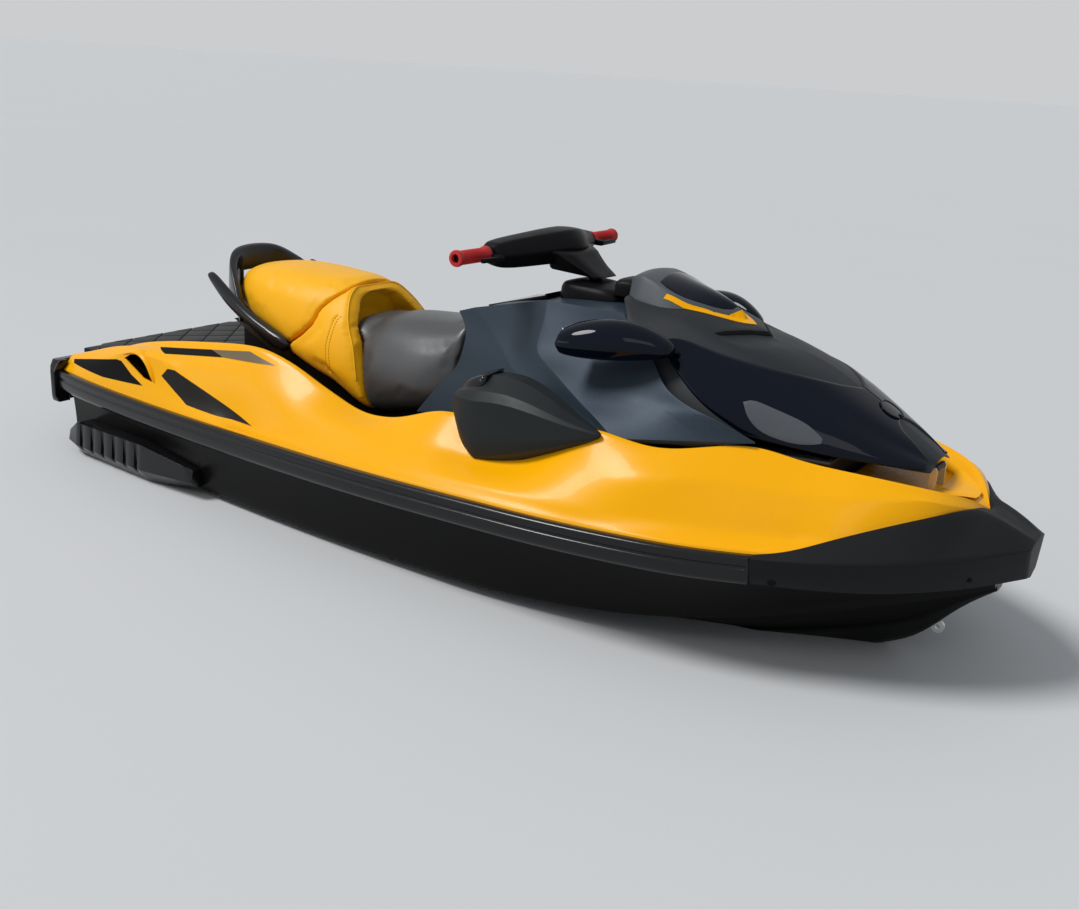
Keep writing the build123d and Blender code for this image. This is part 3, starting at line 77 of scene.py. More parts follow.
class Fair:
    """A line through a table's rows, faired so that it never swings past them."""

    def __init__(self, *rows):
        self.xs = [row[0] for row in rows]
        self.columns = list(zip(*[row[1:] for row in rows]))

    def slope(self, values, i):
        if i in (0, len(values) - 1):
            j = 0 if i == 0 else i - 1
            return (values[j + 1] - values[j]) / (self.xs[j + 1] - self.xs[j])
        before = (values[i] - values[i - 1]) / (self.xs[i] - self.xs[i - 1])
        after = (values[i + 1] - values[i]) / (self.xs[i + 1] - self.xs[i])
        return 0.0 if before * after <= 0 else 2 * before * after / (before + after)

    def at(self, x):
        x = min(max(x, self.xs[0]), self.xs[-1])
        i = max(k for k in range(len(self.xs) - 1) if self.xs[k] <= x)
        span = self.xs[i + 1] - self.xs[i]
        t = (x - self.xs[i]) / span
        weights = (2 * t**3 - 3 * t**2 + 1, t**3 - 2 * t**2 + t, 3 * t**2 - 2 * t**3, t**3 - t**2)
        found = []
        for values in self.columns:
            ends = (values[i], span * self.slope(values, i), values[i + 1], span * self.slope(values, i + 1))
            found.append(sum(w * e for w, e in zip(weights, ends)))
        return found


def through(points, count):
    """Points at even steps along a smooth curve through the given ones."""
    points = [Vector(p) for p in points]
    if len(points) == 2:
        return [points[0].lerp(points[1], k / (count - 1)) for k in range(count)]
    dense = []
    for i in range(len(points) - 1):
        a = points[i - 1] if i else points[0] * 2 - points[1]
        b, c = points[i], points[i + 1]
        d = points[i + 2] if i + 2 < len(points) else c * 2 - b
        for k in range(12):
            t = k / 12
            dense.append(
                0.5 * (2 * b + (c - a) * t + (2 * a - 5 * b + 4 * c - d) * t * t + (3 * b - a - 3 * c + d) * t**3)
            )
    dense.append(points[-1])
    lengths = [0.0]
    for p, q in zip(dense, dense[1:]):
        lengths.append(lengths[-1] + (q - p).length)
    found, k = [], 0
    for n in range(count):
        want = lengths[-1] * n / (count - 1)
        while k < len(lengths) - 2 and lengths[k + 1] < want:
            k += 1
        share = (want - lengths[k]) / max(lengths[k + 1] - lengths[k], 1e-9)
        found.append(dense[k].lerp(dense[k + 1], min(1, max(0, share))))
    return found


def steps(low, high, size):
    count = max(2, int(round((high - low) / size)) + 1)
    return [mix(low, high, k / (count - 1)) for k in range(count)]


def weave(rows, creases=(), row_creases=(), ring=False, caps=(False, False)):
    """A bmesh of quads from rows of points. Creases are (index, weight) along columns and along rows."""
    bm = bmesh.new()
    layer = bm.edges.layers.float.new("crease_edge")
    verts = [[bm.verts.new(p) for p in row] for row in rows]
    width = len(rows[0])
    last = width if ring else width - 1
    for upper, lower in zip(verts, verts[1:]):
        for j in range(last):
            k = (j + 1) % width
            bm.faces.new((upper[j], upper[k], lower[k], lower[j]))
    for cap, row in zip(caps, (verts[0], verts[-1])):
        if cap:
            bm.faces.new(row)
    for j, weight in creases:
        for n, (upper, lower) in enumerate(zip(verts, verts[1:])):
            edge = bm.edges.get((upper[j], lower[j]))
            edge[layer] = weight(n / (len(verts) - 1)) if callable(weight) else weight
    for i, weight in row_creases:
        for j in range(last):
            bm.edges.get((verts[i][j], verts[i][(j + 1) % width]))[layer] = weight
    return bm


def both_sides(bm):
    """Adds the starboard half to a port half, joined along the centreline."""
    bmesh.ops.mirror(bm, geom=bm.verts[:] + bm.edges[:] + bm.faces[:], axis="Y", merge_dist=1e-5)
    return bm


def to_starboard(bm):
    for v in bm.verts:
        v.co.y = -v.co.y
    bmesh.ops.reverse_faces(bm, faces=bm.faces[:])
    return bm


def on_side(bm, side):
    """A port form as it is for side 1, or turned into its starboard twin for side -1."""
    return to_starboard(bm) if side < 0 else bm


def close_ends(bm, *ends):
    """Fills the openings that lie square across a form at some distances ahead, in millimetres."""
    for end in ends:
        edges = [e for e in bm.edges if e.is_boundary and all(abs(v.co.x - end / 1000) < 1e-4 for v in e.verts)]
        bmesh.ops.holes_fill(bm, edges=edges, sides=60)
    return bm


def outward(bm, inside=None):
    """Turns all faces outwards: away from a place inside the form."""
    bmesh.ops.recalc_face_normals(bm, faces=bm.faces[:])
    if inside is not None:
        lean = sum(f.normal.dot(f.calc_center_median() - Vector(inside)) * f.calc_area() for f in bm.faces)
        if lean < 0:
            bmesh.ops.reverse_faces(bm, faces=bm.faces[:])
    return bm


def closed(rows, creases=(), row_creases=()):
    """A closed form through rings of points, with its faces outwards."""
    return outward(weave(rows, creases, row_creases, True, (True, True)))


def solid_block(low, high):
    """A block between two corners, in the tables' millimetres, as a bmesh for cutting with."""
    (x0, y0, z0), (x1, y1, z1) = low, high
    rows = [[spot(x, y, z) for y, z in ((y0, z0), (y1, z0), (y1, z1), (y0, z1))] for x in (x0, x1)]
    return closed(rows)


def block_between(outline, low_y, high_y):
    """A closed block with an (x, z) outline, from one breadth to another."""
    return closed([[spot(x, y, z) for x, z in outline] for y in (low_y, high_y)])


def mesh_object(name, bm):
    mesh = bpy.data.meshes.new(name)
    bm.to_mesh(mesh)
    bm.free()
    obj = bpy.data.objects.new(name, mesh)
    bpy.context.scene.collection.objects.link(obj)
    return obj


def settle(obj):
    """Applies an object's modifiers to its mesh."""
    bpy.context.view_layer.update()
    shown = bpy.context.evaluated_depsgraph_get()
    shown.update()
    mesh = bpy.data.meshes.new_from_object(obj.evaluated_get(shown))
    obj.modifiers.clear()
    old = obj.data
    obj.data = mesh
    mesh.name = obj.name
    bpy.data.meshes.remove(old)
    return obj


def round_off(obj, levels):
    if levels:
        modifier = obj.modifiers.new("Smooth", "SUBSURF")
        modifier.levels = modifier.render_levels = levels
    return obj


def thicken(obj, metres):
    modifier = obj.modifiers.new("Wall", "SOLIDIFY")
    modifier.thickness = metres
    modifier.offset = -1.0
    modifier.use_rim = True
    return obj


def soften(obj, metres, degrees=28, segments=2):
    modifier = obj.modifiers.new("Edges", "BEVEL")
    modifier.width = metres
    modifier.segments = segments
    modifier.limit_method = "ANGLE"
    modifier.angle_limit = math.radians(degrees)
    modifier.harden_normals = False
    return obj


def cut(obj, *tools):
    """Takes closed forms out of a closed mesh."""
    for number, tool in enumerate(tools):
        cutter = mesh_object(f"{obj.name}_tool_{number}", tool)
        modifier = obj.modifiers.new("Cut", "BOOLEAN")
        modifier.object = cutter
        modifier.operation = "DIFFERENCE"
        modifier.solver = "EXACT"
        settle(obj)
        bpy.data.objects.remove(cutter)
    return obj


def shade(obj, degrees=None):
    obj.data.shade_smooth()
    if degrees is not None:
        obj.data.set_sharp_from_angle(angle=math.radians(degrees))
    return obj


def place(obj, finish, body, nodes=(), sharp=None):
    """Gives a finished piece its material, body and record slot, and stands it in for its CAD nodes."""
    obj.data.materials.clear()
    obj.data.materials.append(bpy.data.materials[finish])
    shade(obj, sharp)
    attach(obj, body)
    if nodes:
        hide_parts(*nodes)
    return obj


def surface_of(*names):
    """A tree for finding points on the shown surface of some pieces."""
    bpy.context.view_layer.update()
    shown = bpy.context.evaluated_depsgraph_get()
    verts, faces = [], []
    for name in names:
        obj = bpy.data.objects[name].evaluated_get(shown)
        mesh = obj.to_mesh()
        start = len(verts)
        verts.extend(v.co.copy() for v in mesh.vertices)
        faces.extend([start + i for i in p.vertices] for p in mesh.polygons)
        obj.to_mesh_clear()
    return BVHTree.FromPolygons(verts, faces)


def outline_grid(corners, cell):
    """A bmesh that fills a plane outline of (u, v) corners, in metres, with small even faces."""
    bm = bmesh.new()
    ring = [bm.verts.new((u, v, 0)) for u, v in corners]
    bm.faces.new(ring)
    us, vs = [c[0] for c in corners], [c[1] for c in corners]
    for axis, low, high in ((0, min(us), max(us)), (1, min(vs), max(vs))):
        at = low + cell
        while at < high - cell * 0.3:
            normal = Vector((1, 0, 0)) if axis == 0 else Vector((0, 1, 0))
            geom = bm.verts[:] + bm.edges[:] + bm.faces[:]
            bmesh.ops.bisect_plane(bm, geom=geom, plane_co=normal * at, plane_no=normal)
            at += cell
    return bm


def overlay(name, tree, corners, direction, lift, wall=0.003, cell=0.012, edge=0.0012, rounded=6):
    """A thin panel laid on a surface: its outline is drawn square to a direction and pressed on along it.

    direction is "side" for an outline of (x, z) pressed on from starboard, and "top" for one of
    (x, y) pressed on from above, both in the tables' millimetres."""
    points = through(
        [Vector((a, b, 0)) for a, b in corners + corners[:1]], len(corners) * rounded + 1
    )[:-1] if rounded else [Vector((a, b, 0)) for a, b in corners]
    if direction == "side":
        flat = [(p.x / 1000, p.y / 1000 - DRAFT) for p in points]
    else:
        flat = [(p.x / 1000, p.y / 1000) for p in points]
    bm = outline_grid(flat, cell)
    for v in bm.verts[:]:
        u, w = v.co.x, v.co.y
        start, way = (Vector((u, -2, w)), Vector((0, 1, 0))) if direction == "side" else (
            Vector((u, w + 1e-5, 2)), Vector((0, 0, -1))
        )
        hit, normal, _, _ = tree.ray_cast(start, way)
        if hit is None:
            bm.verts.remove(v)
            continue
        if normal.dot(way) > 0:
            normal = -normal
        v.co = hit + normal * lift
    aim = Vector((0, -1, 0)) if direction == "side" else Vector((0, 0, 1))
    bmesh.ops.recalc_face_normals(bm, faces=bm.faces[:])
    if sum(f.normal.dot(aim) for f in bm.faces) < 0:
        bmesh.ops.reverse_faces(bm, faces=bm.faces[:])
    obj = mesh_object(name, bm)
    thicken(obj, wall)
    if edge:
        soften(obj, edge, 50, 2)
    return settle(obj)


def overlay_pair(name, finish, body, sharp, *drawn):
    """An overlay pressed on from starboard, and its twin to port."""
    near = overlay(f"{name}_starboard", *drawn)
    bm = bmesh.new()
    bm.from_mesh(near.data)
    far = mesh_object(f"{name}_port", to_starboard(bm))
    for obj in (near, far):
        place(obj, finish, body, (), sharp)


def swept(name, points, radius, sides=8):
    """A round bead along a smooth line of frame points, closed at its ends."""
    curve = bpy.data.curves.new(name, "CURVE")
    curve.dimensions = "3D"
    curve.bevel_depth = radius
    curve.bevel_resolution = max(1, sides // 4)
    curve.use_fill_caps = True
    spline = curve.splines.new("POLY")
    spline.points.add(len(points) - 1)
    for p, at in zip(spline.points, points):
        p.co = (*at, 1)
    bead = bpy.data.objects.new(name, curve)
    bpy.context.scene.collection.objects.link(bead)
    bpy.context.view_layer.update()
    shown = bpy.context.evaluated_depsgraph_get()
    mesh = bpy.data.meshes.new_from_object(bead.evaluated_get(shown))
    bpy.data.objects.remove(bead)
    obj = bpy.data.objects.new(name, mesh)
    bpy.context.scene.collection.objects.link(obj)
    return obj


def joined(name, objects):
    """One mesh object from several, with their modifiers applied."""
    bm = bmesh.new()
    for obj in objects:
        if obj.modifiers:
            settle(obj)
        bm.from_mesh(obj.data)
        bpy.data.objects.remove(obj)
    return mesh_object(name, bm)


def copy_of(node):
    """A merged copy of a CAD node's mesh, as a bmesh."""
    bm = bmesh.new()
    bm.from_mesh(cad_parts[node].data)
    bmesh.ops.remove_doubles(bm, verts=bm.verts[:], dist=1e-5)
    bmesh.ops.dissolve_limit(bm, angle_limit=math.radians(1.5), verts=bm.verts[:], edges=bm.edges[:])
    return bm


# the craft's own lines

KEEL = Fair(
    (-1660, 20), (-1200, 4), (0, 0), (600, 10), (1000, 62), (1200, 122), (1386, 200), (1440, 240), (1500, 330),
    (1560, 392), (1660, 440),
)
SHEER = Fair(
    (-1660, 470, 428), (-1600, 500, 430), (-1200, 560, 438), (-600, 605, 453), (0, 625, 471), (500, 612, 488),
    (900, 560, 501), (1200, 455, 514), (1400, 345, 530), (1550, 215, 546), (1660, 60, 556),
)
CHINE = Fair(
    (-1660, 455, 212), (-1000, 515, 205), (-300, 535, 205), (300, 522, 214), (700, 470, 240), (1000, 388, 285),
    (1200, 300, 330), (1400, 185, 382), (1520, 100, 412), (1660, 16, 452),
)
SHELF = Fair(
    (-1660, 425, 452), (-1420, 480, 480), (-1250, 498, 545), (-1120, 506, 582), (-968, 508, 584),
    (-869, 514, 558), (-720, 526, 506), (-574, 538, 464), (-200, 556, 480), (200, 562, 508), (620, 548, 528),
    (900, 488, 536), (1160, 385, 540), (1280, 338, 562), (1375, 258, 594), (1443, 198, 614), (1487, 142, 622),
    (1512, 74, 612), (1532, 8, 598),
)
FLANK = Fair(
    (-1660, 415, 460), (-1120, 474, 597), (-869, 478, 606), (-600, 484, 580), (-300, 492, 546), (0, 492, 544),
    (168, 488, 562), (300, 474, 545), (450, 468, 560), (600, 480, 606), (760, 476, 618), (1020, 372, 640),
    (1150, 330, 632), (1315, 262, 646), (1428, 196, 652), (1487, 134, 634), (1512, 66, 620), (1532, 6, 602),
)
CREST = Fair(
    (-1660, 405, 448), (-1560, 412, 462), (-1430, 425, 492), (-1330, 434, 540), (-1126, 436, 606), (-877, 428, 650),
    (-616, 415, 678), (-491, 412, 657), (-318, 415, 602), (-149, 420, 564), (-54, 422, 574), (168, 418, 640),
    (300, 402, 640), (450, 396, 650), (560, 404, 674), (626, 418, 698), (800, 396, 680), (1020, 292, 712),
    (1150, 262, 694), (1315, 218, 684), (1428, 160, 668), (1487, 96, 648), (1512, 42, 628), (1532, 3, 606),
)
RAIL_THICK, RAIL_HEIGHT, BOND_DROP, DECK_WALL = 28, 74, 35, 46
TRANSOM_X, TUNNEL_FRONT_X, HULL_TIP_X, DECK_REAR_X, DECK_TIP_X = -1520, -1090, 1590, -1590, 1531
RAIL_REAR_X, RAIL_FRONT_X, BUMPER_TIP_X = -1572, 1128, 1654


def outer_wall(x):
    """Where the hull and the deck meet behind the rail: (y, z)."""
    y, z = SHEER.at(x)
    return y - RAIL_THICK, z - BOND_DROP


def hull_section(x):
    keel_z, = KEEL.at(x)
    chine_y, chine_z = CHINE.at(x)
    top_y, top_z = outer_wall(x)
    flat = min(18, chine_y * 0.4)
    run = chine_y - min(48, chine_y * 0.4)
    rise = chine_z - 12 - keel_z
    strake_y, strake_z = mix(flat, run, 0.5), keel_z + rise * 0.5
    drop = min(12, rise * 0.2)
    return [
        (0, keel_z), (flat, keel_z), (strake_y, strake_z - drop * 0.5), (
            strake_y + drop * 0.3, strake_z + drop * 0.5
        ),
        (run, chine_z - drop * 0.5), (chine_y, chine_z - drop), (chine_y + drop * 0.5, chine_z + drop),
        (mix(chine_y, top_y, 0.42), mix(chine_z, top_z, 0.5)), (top_y, top_z), (0, top_z),
    ]


def make_hull():
    """The black hull, with its strakes and chine, engine bay, footwells, storage pocket, tunnel and intake."""
    rows = []
    for x in steps(TRANSOM_X, HULL_TIP_X, 80):
        half = hull_section(x)
        ring = half + [(-y, z) for y, z in reversed(half) if y > 0.01]
        rows.append([spot(x, y, z) for y, z in ring])
    width = len(rows[0])
    creases = [(j, w) for j, w in ((1, 0.6), (2, 0.9), (3, 0.9), (4, 0.6), (5, 0.95), (6, 0.95), (8, 1.0))]
    creases += [(width - j, w) for j, w in creases]
    hull = mesh_object("hull_shell", closed(rows, creases, ((0, 1.0), (-1, 1.0))))
    settle(round_off(hull, 2))
    foot = 372 - 8
    side = 366
    duct_low = [(-560, 92, -60), (-560, -92, -60), (-1030, -92, -60), (-1030, 92, -60)]
    duct_high = [(-990, 83, 246), (-990, -83, 246), (-1100, -83, 246), (-1100, 83, 246)]
    duct = closed([[spot(*p) for p in duct_low], [spot(*p) for p in duct_high]])
    cut(
        hull,
        solid_block((-800, -170, 108), (330, 170, 700)),
        solid_block((-1080, 200, foot), (300, side, 700)),
        solid_block((-1080, -side, foot), (300, -200, 700)),
        solid_block((TRANSOM_X - 50, -168, -50), (TUNNEL_FRONT_X, 168, 378)),
        solid_block((566, -202, 339), (1192, 202, 700)),
        duct,
    )
    place(hull, "hull_satin", "craft", ["hull"], 32)


def deck_section(x):
    wall_y, wall_z = outer_wall(x)
    _, rail_z = SHEER.at(x)
    shelf_y, shelf_z = SHELF.at(x)
    flank_y, flank_z = FLANK.at(x)
    crest_y, crest_z = CREST.at(x)
    lip = min(14, crest_y * 0.25)
    inner = max(crest_y - DECK_WALL, crest_y * 0.3)
    bow = x > 1190
    well = 46 * min(1.0, max(0.0, (DECK_TIP_X - x) / 110)) + 2
    foot_z = crest_z - well if bow else wall_z
    hollow = 8 * ramp(x, -1450, -1150) * (1 - ramp(x, -800, -500))
    bead = 5 * (1 - ramp(x, -700, -560)) * ramp(x, -1590, -1450)
    return [
        (wall_y, wall_z),
        (wall_y, rail_z - 4),
        (wall_y - 5, rail_z + 4),
        (mix(wall_y - 5, shelf_y, 0.5) - hollow, mix(rail_z + 4, shelf_z, 0.5) - 3),
        (shelf_y, shelf_z),
        (mix(shelf_y, flank_y, 0.5), mix(shelf_z, flank_z, 0.5) + 2),
        (flank_y, flank_z),
        (mix(flank_y, crest_y + 4, 0.6), mix(flank_z, crest_z - 4, 0.6) - bead),
        (crest_y + 4, crest_z - 4),
        (crest_y - 4, crest_z),
        (crest_y - lip, crest_z - 3),
        (inner, crest_z - min(40, well if bow else 40)),
        (inner, mix(crest_z, foot_z, 0.8) if not bow else foot_z),
        (0 if bow else inner, foot_z),
    ]


SCOOP = ((-1178, 552), (-1140, 572), (-1104, 578), (-1060, 566), (-1022, 528), (-1010, 504), (-1060, 508))


def make_deck():
    """The yellow deck: the sculpted gunwales, the crests over the footwells and the bow with its well."""
    places = steps(DECK_REAR_X, 1186, 55) + steps(1194, DECK_TIP_X, 32)
    rows = [[spot(x, y, z) for y, z in deck_section(x)] for x in places]
    span = DECK_TIP_X - DECK_REAR_X

    def along(low, high, strong, weak):
        return lambda t: strong if low < DECK_REAR_X + t * span < high else weak

    creases = [
        (1, 1.0), (2, 0.8), (
            4, lambda t: 0.9 if abs(DECK_REAR_X + t * span + 890) < 410 or DECK_REAR_X + t * span > 420 else 0.25
        ),
        (6, along(600, 1500, 0.9, 0.15)),
        (7, along(-1600, -640, 0.5, 0.0)), (8, 0.75), (9, 0.6), (10, 0.5), (11, 0.7), (12, 1.0),
    ]
    bm = both_sides(weave(rows, creases, ((0, 1.0), (-1, 1.0))))
    deck = mesh_object("deck_shell", outward(bm, spot(0, 0, 300)))
    thicken(deck, 0.004)
    round_off(deck, 2)
    settle(deck)
    cut(deck, block_between(SCOOP, -462, -640), block_between(SCOOP, 462, 640))
    place(deck, "deck_paint", "craft", ["deck"], 30)


def make_scoops():
    """The black throats of the two rear scoops and the yellow fin over each."""
    for side, label in reversed(SIDES):
        throat = []
        for depth, inset in ((462, 0), (492, 0), (500, 3)):
            middle = Vector((-1080, 0, 540))
            row = []
            for x, z in SCOOP:
                at = Vector((x, 0, z)).lerp(middle, inset / 40)
                row.append(spot(at.x, side * depth, at.z))
            throat.append(row)
        bm = weave(throat, ring=True, caps=(True, False))
        bmesh.ops.recalc_face_normals(bm, faces=bm.faces[:])
        bmesh.ops.reverse_faces(bm, faces=bm.faces[:])
        cup = mesh_object(f"scoop_throat_{label}", bm)
        # the throat's near-black is partly its own colour and partly painted shade inside the scoop
        place(cup, "recess_black", "craft", (), 30)
        fin = []
        for x, y0, z0, y1, z1, thick in (
            (-1205, 484, 556, 500, 552, 2), (-1165, 480, 576, 510, 572, 7), (-1110, 476, 594, 516, 586, 9),
            (-1055, 480, 586, 522, 574, 9), (-1012, 492, 550, 530, 530, 8), (-990, 506, 512, 534, 494, 2),
        ):
            fin.append([
                spot(x, side * y0, z0 + thick * 0.6), spot(x, side * mix(y0, y1, 0.6), mix(z0, z1, 0.6) + thick),
                spot(x, side * y1, z1), spot(x, side * mix(y0, y1, 0.6), mix(z0, z1, 0.6) - thick * 0.5),
                spot(x, side * y0, z0 - thick * 0.6),
            ])
        lip = mesh_object(f"scoop_fin_{label}", closed(fin, ((2, 0.6),), ()))
        place(round_off(lip, 2), "deck_paint", "craft")


def rail_section(x):
    y, z = SHEER.at(x)
    inner = y - RAIL_THICK + 0.3
    return [
        (inner, z - 1), (y - 10, z), (y - 2, z - 4), (y, z - 12), (y, z - 22), (y - 3.5, z - 26), (y - 3.5, z - 31),
        (y, z - 35), (y, z - 56), (y - 4, z - 67), (y - 11, z - RAIL_HEIGHT), (inner, z - RAIL_HEIGHT),
    ]


def make_nose_floor():
    """The yellow floor that closes the bow's well ahead of the hood."""
    rows = []
    for x, half, edge, middle in (
        (1408, 124, 650, 627), (1430, 114, 650, 629), (1455, 88, 645, 631), (1480, 58, 640, 633), (1500, 30, 633, 631)
    ):
        rows.append([spot(x, y, z) for y, z in (
            (half, edge), (
                half * 0.8, mix(edge, middle, 0.6)
            ), (half * 0.4, middle), (0, middle - 2), (0, 604), (half * 0.9, 604),
        )])
    bm = both_sides(weave(rows, ((0, 0.7),), ()))
    floor = mesh_object("nose_floor", outward(close_ends(bm, 1408, 1500)))
    place(round_off(floor, 2), "deck_paint", "craft", ["nose_trim"])


def make_rails():
    """The black rubbing rails, each a long strip with a groove along its face."""
    for side, label in SIDES:
        rows = [[spot(x, y, z) for y, z in rail_section(x)] for x in steps(RAIL_REAR_X, RAIL_FRONT_X, 60)]
        creases = [(0, 1.0), (1, 0.5), (4, 0.8), (5, 0.8), (6, 0.8), (7, 0.8), (10, 0.6), (11, 1.0)]
        bm = weave(rows, creases, ((0, 0.7), (-1, 0.9)), True, (True, True))
        rail = mesh_object(f"rub_rail_{label}", outward(on_side(bm, side)))
        place(round_off(rail, 2), "rail_black", "craft", [f"rail_{label}"])


BUMPER_TOP = Fair(
    (1128, 464, 504), (1190, 438, 519), (1280, 356, 554), (1375, 268, 588), (1443, 206, 610), (1487, 148, 618),
    (1512, 92, 614), (1532, 64, 608), (1560, 58, 600), (1610, 48, 580), (1654, 30, 556),
)
BUMPER_INNER = Fair(
    (1128, 450, 492), (1190, 422, 508), (1280, 340, 546), (1375, 252, 584), (1443, 190, 606), (1487, 132, 622),
    (1512, 66, 618),
    (1531, 0, 608), (1540, 0, 607), (1654, 0, 562),
)


def bumper_section(x):
    edge_y, edge_z = SHEER.at(x)
    wall_y, wall_z = outer_wall(x)
    top_y, top_z = BUMPER_TOP.at(x)
    keel_z, = KEEL.at(x)
    reach = min(1.0, (x - RAIL_FRONT_X) / 260)
    low_z = max(wall_z - 46 - 14 * reach, keel_z)
    tuck_y, tuck_z = BUMPER_INNER.at(x)
    bow = ramp(x, 1520, 1540)
    return [
        (tuck_y, mix(tuck_z - 16, tuck_z + 3, bow)),
        (mix(tuck_y, top_y * 0.5, bow), tuck_z + 3),
        (top_y, top_z + 8),
        (mix(top_y, edge_y, 0.5) + 1, mix(top_z + 8, edge_z - 2, 0.5) + 1),
        (edge_y + 2, edge_z - 3),
        (edge_y + 1, edge_z - 9),
        (edge_y - 2 - 4 * reach, edge_z - 34),
        (edge_y - 9 - 6 * reach, edge_z - 58),
        (max(edge_y - 22 - 6 * reach, 8), edge_z - RAIL_HEIGHT - 12 * reach),
        (max(wall_y - 14 * reach, 6), low_z + 8),
        (max(wall_y - 30 * reach - 6, 3), low_z),
        (0, low_z),
    ]


def make_bumper():
    """The rubber bumper round the bow, with its sloping top, creased edge and tucked underside."""
    places = steps(RAIL_FRONT_X + 0.5, 1470, 45) + [
        1487, 1500, 1512, 1522, 1531, 1540, 1565, 1600, 1630, BUMPER_TIP_X
    ]
    rows = [[spot(x, y, z) for y, z in bumper_section(x)] for x in places]
    creases = [(1, 0.4), (2, 0.9), (4, 1.0), (5, 0.7), (8, 0.7), (10, 0.8)]
    bm = both_sides(weave(rows, creases, ((0, 0.9), (-1, 0.8))))
    bmesh.ops.holes_fill(
        bm, edges=[e for e in bm.edges if e.is_boundary and e.verts[0].co.x > 1.64 and e.verts[1].co.x > 1.64],
        sides=40
    )
    bumper = mesh_object("bow_bumper_cap", outward(bm, spot(1350, 0, 500)))
    place(round_off(bumper, 2), "bumper_rubber", "craft", ["bow_bumper"])


# panels, pods and console

# The charcoal side panel's four lines, from the seat forward: its rear edge, its two folds and its
# front edge, each from the top down to the deck
PANEL_LINES = (
    ((-30, 150, 858), (22, 178, 815), (34, 204, 765), (16, 214, 700), (-40, 220, 640), (-119, 228, 540)),
    (
        (34, 158, 880), (115, 190, 836), (176, 222, 806), (244, 264, 768), (328, 310, 728), (405, 340, 706),
        (529, 376, 694), (662, 404, 682)
    ),
    (
        (300, 170, 946), (322, 214, 890), (330, 258, 824), (438, 312, 784), (552, 360, 740), (633, 392, 712),
        (690, 410, 682)
    ),
    (
        (560, 196, 956), (638, 226, 908), (705, 260, 862), (763, 297, 812), (845, 316, 782), (937, 322, 764),
        (1028, 300, 724)
    ),
)


def make_side_panels():
    """The charcoal panels beside the console: three flat bands folded along two ridges."""
    for side, label in SIDES:
        lines = [through([spot(*p) for p in line], 13) for line in PANEL_LINES]
        rows = []
        for number, (near, far) in enumerate(zip(lines, lines[1:])):
            hollow = (0.003, 0.007, 0.006)[number]
            for t in (0.0, 0.04, 0.35, 0.65, 0.96):
                sink = hollow if 0.1 < t < 0.9 else 0.0
                rows.append(
                    [
                        a.lerp(b, t) - Vector((0, sink * min(1, k / 2, (12 - k) / 2), 0)) for k,
                        (a, b) in enumerate(zip(near, far))
                    ]
                )
        rows.append(lines[-1])
        for row in rows:
            first, last = row[0].copy(), row[-1].copy()
            row.insert(0, first + Vector((0, -0.012, -0.004)))
            row.append(last + Vector((0, -0.008, -0.014)) * (1 - 0.85 * ramp(last.x, 0.9, 1.01)))
        bm = weave(rows, ((1, 0.9), (13, 0.9)), ((0, 1.0), (5, 1.0), (10, 1.0), (-1, 1.0)))
        panel = mesh_object(f"flank_panel_{label}", outward(on_side(bm, side), spot(300, 0, 600)))
        thicken(panel, 0.005)
        place(round_off(panel, 2), "panel_flake", "craft", [f"side_panel_{label}"], 14)


POD = (
    (208, 354, 452, 668, 718), (212, 352, 466, 646, 730), (236, 350, 480, 596, 746), (262, 350, 488, 552, 760),
    (300, 352, 493, 528, 772), (390, 360, 492, 552, 782), (500, 380, 484, 602, 752), (600, 408, 464, 650, 713),
    (674, 424, 440, 684, 697),
)


def make_knee_pods():
    """The faceted knee pods on the sills, each with a gloss band along its rear and inner edge."""
    for side, label in SIDES:
        rows, band = [], []
        for x, inner, outer, low, top in POD:
            width = outer - inner
            rows.append([spot(x, y, z) for y, z in (
                (inner, low + 4), (outer - width * 0.26, low - 2), (outer - width * 0.06, mix(low, top, 0.12)),
                (outer, mix(low, top, 0.3)), (outer - width * 0.03, mix(low, top, 0.76)),
                (outer - width * 0.16, mix(low, top, 0.86)), (mix(inner, outer, 0.42), top), (inner, top - 2),
            )])
            band.append([spot(x, y, z) for y, z in (
                (inner + 2, top - 12), (inner + 2, top + 10), (inner + width * 0.66, top + 4),
                (inner + width * 0.74, top - 26),
            )])
        creases = ((0, 1.0), (1, 1.0), (2, 0.9), (3, 0.4), (4, 1.0), (5, 0.8), (6, 1.0), (7, 1.0))
        bm = weave(rows, creases, ((0, 1.0), (1, 0.9), (4, 0.8)), True, (True, True))
        pod = mesh_object(f"knee_rest_{label}", outward(on_side(bm, side)))
        place(round_off(pod, 2), "pod_satin", "craft", [f"knee_pod_{label}"], 16)
        bm = weave(band[0:5], ((1, 0.8), (2, 0.8), (3, 0.8)), ((0, 0.8), (-1, 0.8)), True, (True, True))
        strip = mesh_object(f"knee_band_{label}", outward(on_side(bm, side)))
        place(round_off(strip, 2), "gloss_black", "craft")


CONSOLE_TOP = Fair(
    (-16, 150, 846), (40, 154, 876), (128, 158, 904), (241, 166, 928), (309, 172, 940), (439, 182, 950),
    (575, 194, 950)
)


